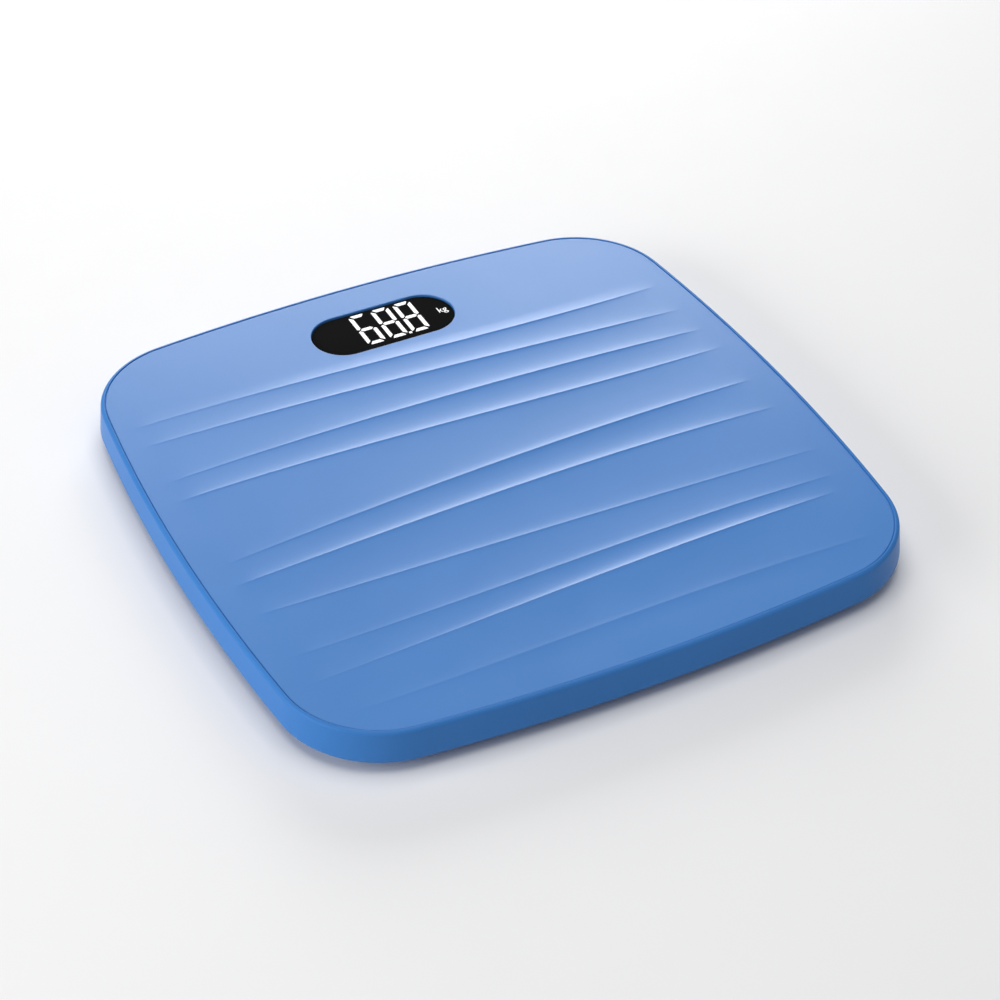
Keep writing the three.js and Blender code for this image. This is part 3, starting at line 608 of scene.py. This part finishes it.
def paint_cad_nodes():
    """Every CAD node that still shows takes the material of its slot."""
    slots = {row["node"]: row["material_slot"] for row in frame["record"]["subparts"]}
    for name, node in frame["nodes"].items():
        node.data.materials.clear()
        node.data.materials.append(MATERIALS[slots[name]])


def settle(piece, body, slot, *nodes):
    """Hangs a piece on the body it rides on and hides the CAD nodes it stands for. The slot is not used."""
    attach(piece, body)
    if nodes:
        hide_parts(*nodes)
    return piece


# ---- Platform panel ----


def platform_panel():
    build = Builder()
    grid = relief_grid()
    rows = [build.loop(points) for points in grid]
    for a, b in zip(rows, rows[1:]):
        for i in range(len(a) - 1):
            build.faces.append((a[i], a[i + 1], b[i + 1], b[i]))
    left = [row[0] for row in rows]
    right = [row[-1] for row in rows]
    relief_border = rows[0][:-1] + right[:-1] + rows[-1][:0:-1] + left[:0:-1]

    middle = (PANEL_RIM + PANEL_EDGE_RADIUS, PANEL_TOP - PANEL_EDGE_RADIUS)
    edge = quarter(*middle, PANEL_EDGE_RADIUS, 0, 90, 6)
    profile = [(PANEL_RIM, PANEL_UNDERSIDE), *edge, (edge[-1][0] + SUPPORT, PANEL_TOP)]
    outer = [build.loop(outline(inset, z)) for inset, z in profile]
    build.tower(outer)

    rim = quarter(-WINDOW_EDGE_RADIUS, PANEL_TOP - WINDOW_EDGE_RADIUS, WINDOW_EDGE_RADIUS, 90, 180, 8)
    grown = [(-inset, z) for inset, z in rim]
    window_profile = [(grown[0][0] + SUPPORT, PANEL_TOP), *grown, (0, PANEL_UNDERSIDE)]
    inner = [build.loop(window(grow, z)) for grow, z in window_profile]
    build.tower(inner)

    build.plate(outer[-1], [relief_border, inner[0]])
    build.plate(outer[0], [inner[-1]])
    piece = build.object("wave_platform", MATERIALS["shell_plastic"], sharp_angle=50)
    return settle(piece, "body", "shell_plastic", "platform_panel")


# ---- Base tray ----


def middle_of(node):
    """The middle of a node's box in X and Y."""
    low, high = mm_box(node)
    return (low + high)[:2] / 2


def hole(build, x, y, profile):
    """Loops of a round hole in the tray's floor, from [radius, z] points going up."""
    loops = [build.loop(circle(x, y, radius, z, HOLE_SIDES)) for radius, z in profile]
    build.tower(loops)
    return loops


def base_tray():
    build = Builder()
    bottom = quarter(
        -WALL_FLARE + BOTTOM_EDGE_RADIUS, TRAY_BOTTOM + BOTTOM_EDGE_RADIUS, BOTTOM_EDGE_RADIUS, -90, 0, 10
    )
    top = quarter(TOP_EDGE_RADIUS, TOP - TOP_EDGE_RADIUS, TOP_EDGE_RADIUS, 0, 90, 12)
    lip = quarter(LIP_WIDTH - LIP_EDGE_RADIUS, TOP - LIP_EDGE_RADIUS, LIP_EDGE_RADIUS, 90, 180, 4)
    ledge = LIP_WIDTH + LEDGE_WIDTH
    profile = [
        (bottom[0][0] + SUPPORT, TRAY_BOTTOM),
        *bottom,
        *top,
        *lip[1:],
        (LIP_WIDTH, TOP - GROOVE_DEPTH),
        (PANEL_RIM - 0.02, TOP - GROOVE_DEPTH - 0.05),
        (PANEL_RIM - 0.02, PANEL_UNDERSIDE - GAP),
        (ledge, PANEL_UNDERSIDE - GAP),
        (ledge, TRAY_FLOOR),
    ]
    shell = [build.loop(outline(inset, z)) for inset, z in profile]
    build.tower(shell)

    below, above = [], []
    for place in PLACES:
        collar = [(radius, TRAY_BOTTOM - height) for radius, height in COLLAR]
        bore = [(FOOT_HOLE_RADIUS + 0.4, TRAY_BOTTOM), (FOOT_HOLE_RADIUS, TRAY_BOTTOM + 0.4)]
        bore.append((FOOT_HOLE_RADIUS, TRAY_FLOOR))
        loops = hole(build, *middle_of(f"foot_pad_{place}"), [*collar, *bore])
        below.append(loops[0])
        above.append(loops[-1])
    bore = [(BUTTON_HOLE_RADIUS + 0.3, TRAY_BOTTOM), (BUTTON_HOLE_RADIUS, TRAY_BOTTOM + 0.3)]
    loops = hole(build, *middle_of("unit_button"), [*bore, (BUTTON_HOLE_RADIUS, TRAY_FLOOR)])
    below.append(loops[0])
    above.append(loops[-1])
    for i in range(SCREW_COUNT):
        x, y = middle_of(f"case_screw_{i + 1}")
        bore = [(SCREW_WELL_RADIUS + 0.3, TRAY_BOTTOM), (SCREW_WELL_RADIUS, TRAY_BOTTOM + 0.3)]
        well = hole(build, x, y, [*bore, (SCREW_WELL_RADIUS, SCREW_WELL_TOP)])
        build.cap(well[-1])
        boss = hole(build, x, y, [(SCREW_BOSS_RADIUS, TRAY_FLOOR), (SCREW_BOSS_RADIUS, SCREW_BOSS_TOP)])
        build.cap(boss[-1])
        below.append(well[0])
        above.append(boss[0])
    mouth, foot = battery_bay(build)
    build.plate(shell[0], below + [mouth])
    build.plate(shell[-1], above + [foot])
    piece = build.object("outer_tray", MATERIALS["tray_plastic"], sharp_angle=TRAY_SHARP_ANGLE)
    carve(piece, bay_cutters())
    finish_mesh(piece.data, True, TRAY_SHARP_ANGLE)
    # The wide flat faces set the shading where a cut runs through a rounded edge.
    even = piece.modifiers.new("even_shading", "WEIGHTED_NORMAL")
    even.weight = 100
    even.keep_sharp = True
    return settle(piece, "body", "shell_plastic", "base_tray")


def battery_bay(build):
    """The door's recess and the pocket above it. Returns the loops in the tray's underside and floor."""
    half = DOOR_HALF_LENGTH + GAP
    front, back = DOOR_FRONT - GAP, DOOR_BACK + GAP
    mouth = build.loop(rectangle(-half - 0.2, half + 0.2, front - 0.2, back + 0.2, TRAY_BOTTOM, 0.7))
    wall = build.loop(rectangle(-half, half, front, back, TRAY_BOTTOM + 0.2))
    step = build.loop(rectangle(-half, half, front, back, DOOR_TOP + GAP))
    inner = (-BAY_HALF_LENGTH, BAY_HALF_LENGTH, BAY_FRONT, BAY_BACK)
    pocket = build.loop(rectangle(*inner, DOOR_TOP + GAP))
    ceiling = build.loop(rectangle(*inner, BAY_TOP))
    build.tower([mouth, wall, step, pocket, ceiling])
    build.cap(ceiling)
    half = BAY_HALF_LENGTH + BAY_END_WALL
    outer = (-half, half, DOOR_FRONT - BAY_SIDE_WALL, DOOR_BACK + BAY_SIDE_WALL)
    foot = build.loop(rectangle(*outer, TRAY_FLOOR))
    roof = build.loop(rectangle(*outer, PANEL_UNDERSIDE - GAP))
    build.tower([foot, roof])
    build.cap(roof)
    return mouth, foot


def bay_cutters():
    """The hinge's channel and bore, and the finger notch, as closed cutting pieces."""
    half = DOOR_HALF_LENGTH + GAP - 0.05
    front, back = BAY_BACK + 0.1, DOOR_BACK + GAP - 0.05
    channel = Builder()
    sides = [(-half, front), (half, front), (half, back), (-half, back)]
    prism(channel, sides, TRAY_BOTTOM + 0.5, HINGE_Z + BARREL_RADIUS + GAP)
    bore = Builder()
    end = STUB_END + 0.5
    rod = [(-end, 0), (-end, STUB_HOLE_RADIUS), (end, STUB_HOLE_RADIUS), (end, 0)]
    lying(bore, rod, HINGE_Y, HINGE_Z, 24)
    notch = Builder()
    sides = (-NOTCH_HALF, NOTCH_HALF, DOOR_FRONT - NOTCH_REACH, DOOR_FRONT + 0.1)
    wide = (sides[0] - 0.3, sides[1] + 0.3, sides[2] - 0.3, sides[3])
    loops = [
        notch.loop(rectangle(*wide, TRAY_BOTTOM - 1, 1.6)),
        notch.loop(rectangle(*wide, TRAY_BOTTOM - 0.001, 1.6)),
        notch.loop(rectangle(*sides, TRAY_BOTTOM + 0.3, 1.4)),
        notch.loop(rectangle(*sides, TRAY_BOTTOM + NOTCH_DEPTH, 1.4)),
    ]
    notch.tower(loops)
    notch.cap(loops[0])
    notch.cap(loops[-1])
    shapes = (("channel_cutter", channel), ("bore_cutter", bore), ("notch_cutter", notch))
    return [build.object(name, MATERIALS["tray_plastic"]) for name, build in shapes]


def rating_label():
    """A blank sticker with a thin printed frame."""
    low, high = mm_box("rating_label")
    sides = (low[0], high[0], low[1], high[1])
    top, face = TRAY_BOTTOM - 0.01, TRAY_BOTTOM - 0.14
    film = Builder()
    slab(film, sides, (face, top), 0.05, 2.0)
    settle(film.object("blank_label", MATERIALS["label_film"]), "body", "label_film", "rating_label")
    frame_build = Builder()
    loops = []
    for inset, z in ((1.5, face + 0.02), (1.5, face - 0.02), (1.9, face - 0.02), (1.9, face + 0.02)):
        inner = (sides[0] + inset, sides[1] - inset, sides[2] + inset, sides[3] - inset)
        loops.append(frame_build.loop(rectangle(*inner, z, 2.5 - inset)))
    frame_build.tower([*loops, loops[0]])
    piece = frame_build.object("label_frame", MATERIALS["display_black"], smooth=False)
    settle(piece, "body", "label_film")


def case_screws():
    """Pan-head screws with a cross recess and a threaded shank."""
    arm, half, depth = 1.75, 0.42, 1.0
    cross = [(arm, -half), (arm, half), (half, half), (half, arm), (-half, arm), (-half, half)]
    cross += [(-x, -y) for x, y in cross]
    for i in range(SCREW_COUNT):
        low, high = mm_box(f"case_screw_{i + 1}")
        x, y = middle_of(f"case_screw_{i + 1}")
        bottom, seat = low[2], SCREW_WELL_TOP - GAP
        head = high[0] - x
        profile = [(head - 1.0, bottom), (head - 0.45, bottom + 0.15), (head - 0.1, bottom + 0.5)]
        profile += [(head, bottom + 0.9), (head, seat - 0.1), (head - 0.1, seat)]
        crest, root, z = 1.3, 1.0, seat
        while z < high[2] - 1.6:
            profile += [(root, z), (crest, z + 0.3), (root, z + 0.6)]
            z += 0.7
        profile += [(root, high[2] - 1.0), (0.1, high[2])]
        build = Builder()
        loops = [build.loop(circle(x, y, radius, level, 48)) for radius, level in profile]
        build.tower(loops)
        build.cap(loops[-1])
        upper = build.loop([(x + dx, y + dy, bottom) for dx, dy in cross])
        lower = build.loop([(x + dx * 0.8, y + dy * 0.8, bottom + depth) for dx, dy in cross])
        build.plate(loops[0], [upper])
        build.tower([upper, lower])
        build.cap(lower)
        piece = build.object(f"cross_screw_{i + 1}", MATERIALS["screw_steel"], sharp_angle=30)
        settle(piece, "body", "screw_steel", f"case_screw_{i + 1}")


def unit_button():
    low, high = mm_box("unit_button")
    x, y = middle_of("unit_button")
    radius = BUTTON_HOLE_RADIUS - GAP
    flange = TRAY_FLOOR + GAP
    profile = [
        (0, low[2] + 0.25),
        (2.0, low[2] + 0.2),
        (3.4, low[2] + 0.06),
        (4.0, low[2]),
        (radius - 0.5, low[2]),
        (radius - 0.15, low[2] + 0.12),
        (radius, low[2] + 0.45),
        (radius, flange),
        (high[0] - x, flange),
        (high[0] - x, flange + 0.7),
        (1.6, flange + 0.7),
        (1.6, high[2]),
        (0, high[2]),
    ]
    piece = turned("unit_key", profile, x, y, MATERIALS["button_plastic"])
    settle(piece, "unit_button", "button_plastic", "unit_button")


# ---- Battery bay ----


def battery_door():
    """A plate with a bevelled edge and finger grooves, a latch arm, and a barrel with two stubs."""
    build = Builder()
    sides = (-DOOR_HALF_LENGTH, DOOR_HALF_LENGTH, DOOR_FRONT, HINGE_Y)
    bevelled = (sides[0] + 0.3, sides[1] - 0.3, sides[2] + 0.3, sides[3] - 0.3)
    shrunk = (sides[0] + 0.1, sides[1] - 0.1, sides[2] + 0.1, sides[3] - 0.1)
    face = build.loop(rectangle(*bevelled, TRAY_BOTTOM, 0.5))
    edge = build.loop(rectangle(*sides, TRAY_BOTTOM + 0.3, 0.7))
    shoulder = build.loop(rectangle(*sides, DOOR_TOP - 0.1, 0.7))
    back = build.loop(rectangle(*shrunk, DOOR_TOP, 0.6))
    build.tower([face, edge, shoulder, back])
    build.cap(back)
    grooves = []
    for i in range(GRIP_GROOVES):
        half = 7.0 - 0.9 * i
        front = DOOR_FRONT + 2.4 + 1.7 * i
        groove = (-half, half, front, front + 0.9)
        floor = (-half + 0.2, half - 0.2, front + 0.2, front + 0.7)
        mouth = build.loop(rectangle(*groove, TRAY_BOTTOM, 0.44))
        bottom = build.loop(rectangle(*floor, TRAY_BOTTOM + 0.4, 0.24))
        build.tower([mouth, bottom])
        build.cap(bottom)
        grooves.append(mouth)
    build.plate(face, grooves)
    arm_front = DOOR_FRONT + 0.6
    slab(build, (-LATCH_HALF, LATCH_HALF, arm_front, arm_front + 1.2), (DOOR_TOP - 0.4, door_high[2]), 0.2)
    half = DOOR_HALF_LENGTH
    barrel = [(-half, 0), (-half, BARREL_RADIUS - 0.1), (-half + 0.1, BARREL_RADIUS)]
    barrel += [(-x, radius) for x, radius in reversed(barrel)]
    lying(build, barrel, HINGE_Y, HINGE_Z)
    stub = [(-STUB_END, 0), (-STUB_END, STUB_RADIUS - 0.15), (-STUB_END + 0.15, STUB_RADIUS)]
    stub += [(-x, radius) for x, radius in reversed(stub)]
    lying(build, stub, HINGE_Y, HINGE_Z, 32)
    piece = build.object("bay_door", MATERIALS["tray_plastic"])
    settle(piece, "battery_door", "shell_plastic", "battery_door")


def batteries():
    """Plain cells: a wrapped body, and metal ends that show at the flat end and the nub."""
    for name in ("battery_front", "battery_back"):
        low, high = mm_box(name)
        y, z = (low + high)[1:] / 2
        nub_to_right = name == "battery_front"
        flat_end = low[0] if nub_to_right else high[0]
        way = 1 if nub_to_right else -1

        def at(profile):
            return [(flat_end + way * distance, radius) for distance, radius in profile]

        length = BATTERY_LENGTH
        jacket = Builder()
        wrap = [(0.05, 0), (0.05, 4.3), (0.15, 4.9), (0.45, BATTERY_RADIUS), (length - 0.5, BATTERY_RADIUS)]
        wrap += [(length - 0.15, 4.85), (length - 0.1, 4.2), (length - 0.1, 0)]
        lying(jacket, at(wrap), y, z, 64)
        piece = jacket.object(f"cell_jacket_{name[8:]}", MATERIALS["battery_jacket"])
        settle(piece, "body", "battery_jacket", name)
        metal = Builder()
        lying(metal, at([(0.0, 0), (0.0, 3.6), (0.06, 3.75), (0.3, 3.75), (0.3, 0)]), y, z, 48)
        top = length + BATTERY_NUB_LENGTH
        nub = [(length - 0.3, 0), (length - 0.3, 4.0), (length - 0.02, 3.9)]
        nub.append((length - 0.02, BATTERY_NUB + 0.15))
        nub += [(length + 0.15, BATTERY_NUB), (top - 0.2, BATTERY_NUB), (top, BATTERY_NUB - 0.25), (top, 0)]
        lying(metal, at(nub), y, z, 48)
        piece = metal.object(f"cell_ends_{name[8:]}", MATERIALS["plated_contact"])
        settle(piece, "body", "plated_contact")


def battery_springs():
    """Round-wire coils with a flat turn at each end."""
    sides, steps = 14, 40
    for name in ("battery_spring_front", "battery_spring_back"):
        low, high = mm_box(name)
        middle = (low + high) / 2
        radius = (high[1] - low[1]) / 2 - WIRE_RADIUS
        first, last = low[0] + WIRE_RADIUS, high[0] - WIRE_RADIUS
        turns = COIL_TURNS + 1.5
        build = Builder()
        loops = []
        count = int(turns * steps)
        for i in range(count + 1):
            share = i / count
            rise = min(max((share * turns - 0.75) / COIL_TURNS, 0), 1)
            angle = 2 * math.pi * turns * share
            outwards = np.array([0, math.cos(angle), math.sin(angle)])
            centre = np.array([first + (last - first) * rise, middle[1], middle[2]]) + radius * outwards
            ring = []
            for k in range(sides):
                around = 2 * math.pi * k / sides
                offset = outwards * math.cos(around) + np.array([1, 0, 0]) * math.sin(around)
                ring.append(centre + WIRE_RADIUS * offset)
            loops.append(build.loop(ring))
        build.tower(loops)
        build.cap(loops[0])
        build.cap(loops[-1])
        piece = build.object(name.replace("battery_spring", "contact_coil"), MATERIALS["plated_contact"])
        settle(piece, "body", "plated_contact", name)


def contact_plates():
    """Pressed plates with rounded corners and bevelled edges."""
    for name, label in (
        ("battery_bridge", "pressed_bridge"),
        ("battery_terminal_positive", "pressed_terminal_positive"),
        ("battery_terminal_negative", "pressed_terminal_negative"),
    ):
        low, high = mm_box(name)
        build = Builder()
        loops = []
        for x, inset in ((low[0], 0.1), (low[0] + 0.1, 0), (high[0] - 0.1, 0), (high[0], 0.1)):
            flat = rectangle(low[1] + inset, high[1] - inset, low[2] + inset, high[2] - inset, 0, 0.9)
            loops.append(build.loop([(x, y, z) for y, z, _ in flat]))
        build.tower(loops)
        build.cap(loops[0])
        build.cap(loops[-1])
        settle(build.object(label, MATERIALS["plated_contact"]), "body", "plated_contact", name)


# ---- Display ----


def display_lens():
    build = Builder()
    shoulder = PANEL_UNDERSIDE - GAP
    profile = [
        (LENS_FLANGE, shoulder - LENS_FLANGE_THICKNESS),
        (LENS_FLANGE, shoulder),
        (-GAP, shoulder),
        (-GAP, LENS_TOP - LENS_BEVEL),
        (-GAP - LENS_BEVEL / 3, LENS_TOP - LENS_BEVEL / 3),
        (-GAP - LENS_BEVEL, LENS_TOP),
    ]
    loops = [build.loop(window(grow, z)) for grow, z in profile]
    build.tower(loops)
    build.cap(loops[0])
    build.cap(loops[-1])
    piece = build.object("display_window", MATERIALS["lens_acrylic"])
    return settle(piece, "body", "lens_acrylic", "display_lens")


def segment_outlines():
    """The seven segments of a digit as outlines about its lower left corner."""
    w, h, middle = DIGIT_WIDTH, DIGIT_HEIGHT, DIGIT_HEIGHT / 2
    half_gap = SEGMENT_GAP / 2
    along_bar = SEGMENT_GAP / math.sqrt(2)
    top = [
        (CORNER_CUT, h),
        (w - CORNER_CUT, h),
        (w - CORNER_CUT / 2 - half_gap, h - CORNER_CUT / 2 + half_gap),
        (w - BAR_WIDTH - along_bar, h - BAR_HEIGHT),
        (BAR_WIDTH + along_bar, h - BAR_HEIGHT),
        (CORNER_CUT / 2 + half_gap, h - CORNER_CUT / 2 + half_gap),
    ]
    upper_left = [
        (0, h - CORNER_CUT),
        (CORNER_CUT / 2 - half_gap, h - CORNER_CUT / 2 - half_gap),
        (BAR_WIDTH, h - BAR_HEIGHT - along_bar),
        (BAR_WIDTH, middle + BAR_HEIGHT / 2 + half_gap),
        (BAR_WIDTH / 2, middle + half_gap),
        (0, middle + NOTCH_CUT),
    ]
    bar = [
        (BAR_WIDTH / 2 + half_gap, middle),
        (BAR_WIDTH + half_gap, middle + BAR_HEIGHT / 2),
        (w - BAR_WIDTH - half_gap, middle + BAR_HEIGHT / 2),
        (w - BAR_WIDTH / 2 - half_gap, middle),
        (w - BAR_WIDTH - half_gap, middle - BAR_HEIGHT / 2),
        (BAR_WIDTH + half_gap, middle - BAR_HEIGHT / 2),
    ]
    return {
        "a": top,
        "b": [(w - x, y) for x, y in upper_left],
        "c": [(w - x, h - y) for x, y in upper_left],
        "d": [(x, h - y) for x, y in top],
        "e": [(x, h - y) for x, y in upper_left],
        "f": upper_left,
        "g": bar,
    }


def display_digits():
    segments = segment_outlines()
    low, high = LENS_TOP - SEGMENT_DEPTH, LENS_TOP + SEGMENT_PROUD
    for place, shown in enumerate(SHOWN):
        left = DIGIT_LEFT + place * DIGIT_PITCH
        for letter in shown:
            build = Builder()
            prism(build, [(left + x, DIGIT_BOTTOM + y) for x, y in segments[letter]], low, high)
            name = f"digit_{place + 1}_segment_{letter}"
            settle(build.object(name, MATERIALS["segment_light"], smooth=False), "body", "lens_acrylic")
    middle = DIGIT_LEFT + 2 * DIGIT_PITCH - (DIGIT_PITCH - DIGIT_WIDTH) / 2
    half = POINT_SIDE / 2
    build = Builder()
    sides = rectangle(middle - half, middle + half, DIGIT_BOTTOM, DIGIT_BOTTOM + POINT_SIDE, 0, 0.3)
    prism(build, [point[:2] for point in sides], low, high)
    settle(build.object("decimal_point", MATERIALS["segment_light"], smooth=False), "body", "lens_acrylic")
    unit_mark(low, high)


def unit_mark(low, high):
    """The unit beside the reading."""
    curve = bpy.data.curves.new("unit_mark", "FONT")
    curve.body = "kg"
    curve.size = UNIT_SIZE * MM
    curve.extrude = (high - low) / 2 * MM
    text = bpy.data.objects.new("unit_text", curve)
    bpy.context.scene.collection.objects.link(text)
    bpy.context.view_layer.update()
    mesh = bpy.data.meshes.new_from_object(text)
    bpy.data.objects.remove(text)
    mesh.transform(Matrix.Diagonal((UNIT_NARROWING, 1, 1, 1)))
    mesh.transform(Matrix.Translation((UNIT_LEFT * MM, UNIT_BOTTOM * MM, (low + high) / 2 * MM)))
    piece = bpy.data.objects.new("unit_mark", mesh)
    bpy.context.scene.collection.objects.link(piece)
    mesh.materials.clear()
    mesh.materials.append(MATERIALS["segment_light"])
    settle(piece, "body", "lens_acrylic")


# ---- Feet ----


def feet():
    for place in PLACES:
        x, y = middle_of(f"foot_cup_{place}")
        low, high = mm_box(f"foot_cup_{place}")
        radius, inner = FOOT_RADIUS, FOOT_RADIUS - FOOT_WALL
        flange = TRAY_FLOOR + GAP
        cup = [
            (0, FOOT_SEAT),
            (inner, FOOT_SEAT),
            (inner, low[2] + 0.3),
            (inner + 0.3, low[2]),
            (radius - 0.6, low[2]),
            (radius - 0.15, low[2] + 0.15),
            (radius, low[2] + 0.6),
            (radius, flange),
            (high[0] - x, flange),
            (high[0] - x, flange + FOOT_FLANGE),
            (inner, flange + FOOT_FLANGE),
            (inner, FOOT_FLOOR),
            (FOOT_STUD + 0.4, FOOT_FLOOR),
            (FOOT_STUD, FOOT_FLOOR + 0.5),
            (FOOT_STUD, high[2] - 0.3),
            (FOOT_STUD - 0.3, high[2]),
            (0, high[2]),
        ]
        piece = turned(f"foot_shell_{place}", cup, x, y, MATERIALS["foot_plastic"])
        settle(piece, f"foot_{place}", "foot_plastic", f"foot_cup_{place}")
        low, high = mm_box(f"foot_pad_{place}")
        reach = high[0] - x
        sole = [(0, SOLE_GROOVE), (SOLE_CENTRE - 0.3, SOLE_GROOVE), (SOLE_CENTRE, 0.0)]
        for i in range(SOLE_RINGS):
            start = SOLE_CENTRE + i * SOLE_PITCH
            sole += [(start + 2.0, 0.0), (start + 2.2, SOLE_GROOVE)]
            sole += [(start + SOLE_PITCH - 0.3, SOLE_GROOVE), (start + SOLE_PITCH, 0.0)]
        sole += [(reach - 0.4, 0.0), (reach - 0.1, 0.15), (reach, 0.5), (reach, high[2]), (0, high[2])]
        piece = turned(f"rubber_sole_{place}", sole, x, y, MATERIALS["pad_rubber"])
        settle(piece, f"foot_{place}", "pad_rubber", f"foot_pad_{place}")


# ---- Camera, light and floor ----

CAMERA = {"azimuth": -27.054, "elevation": 39.01, "roll": 0.207, "distance": 1.13577, "lens": 91.24}
TARGET = (-0.000844, -0.013124, TRAY_BOTTOM * MM)

# Softboxes: name, azimuth, elevation, width, height, watts. All hang at the same distance.
LIGHT_DISTANCE = 1.6
LIGHTS = (
    ("back_softbox", 158, 20, 1.1, 0.75, 16),
    ("left_softbox", 270, 20, 1.6, 0.8, 18),
    ("top_softbox", 0, 89.9, 1.4, 1.4, 15),
    ("front_softbox", 45, 40, 1.2, 0.9, 2.5),
)
FLOOR_HALF = 3000
WORLD_STRENGTH = 0.03


def direction(azimuth, elevation):
    """From the scale towards a place: azimuth 0 is in front of it, 90 to its right."""
    around, up = math.radians(azimuth), math.radians(elevation)
    return Vector((math.sin(around) * math.cos(up), -math.cos(around) * math.cos(up), math.sin(up)))


def make_camera():
    data = bpy.data.cameras.new("camera")
    data.lens = CAMERA["lens"]
    data.sensor_width = 36
    camera = bpy.data.objects.new("camera", data)
    bpy.context.scene.collection.objects.link(camera)
    back = direction(CAMERA["azimuth"], CAMERA["elevation"])
    camera.location = Vector(TARGET) + back * CAMERA["distance"]
    camera.rotation_euler = back.to_track_quat("Z", "Y").to_euler()
    camera.rotation_euler.rotate_axis("Z", math.radians(CAMERA["roll"]))
    bpy.context.scene.camera = camera


def make_lights():
    for name, azimuth, elevation, width, height, watts in LIGHTS:
        data = bpy.data.lights.new(name, "AREA")
        data.shape = "RECTANGLE"
        data.size = width
        data.size_y = height
        data.energy = watts
        light = bpy.data.objects.new(name, data)
        bpy.context.scene.collection.objects.link(light)
        towards = direction(azimuth, elevation)
        light.location = towards * LIGHT_DISTANCE
        light.rotation_euler = towards.to_track_quat("Z", "Y").to_euler()
    world = bpy.data.worlds.new("studio")
    bpy.context.scene.world = world
    world.use_nodes = True
    world.node_tree.nodes["Background"].inputs["Color"].default_value = (1, 1, 1, 1)
    world.node_tree.nodes["Background"].inputs["Strength"].default_value = WORLD_STRENGTH


def make_floor():
    build = Builder()
    far = FLOOR_HALF
    build.cap(build.loop([(-far, -far, 0), (far, -far, 0), (far, far, 0), (-far, far, 0)]))
    floor = build.object("floor", moulded("floor_paper", (0.93, 0.93, 0.935), 0.7, 400, 0.00001, 0.01))


# ---- Assembly ----

bpy.context.scene.view_settings.view_transform = "Standard"
make_camera()
make_lights()
make_floor()
paint_cad_nodes()
platform_panel()
base_tray()
rating_label()
case_screws()
unit_button()
battery_door()
batteries()
battery_springs()
contact_plates()
display_lens()
display_digits()
feet()
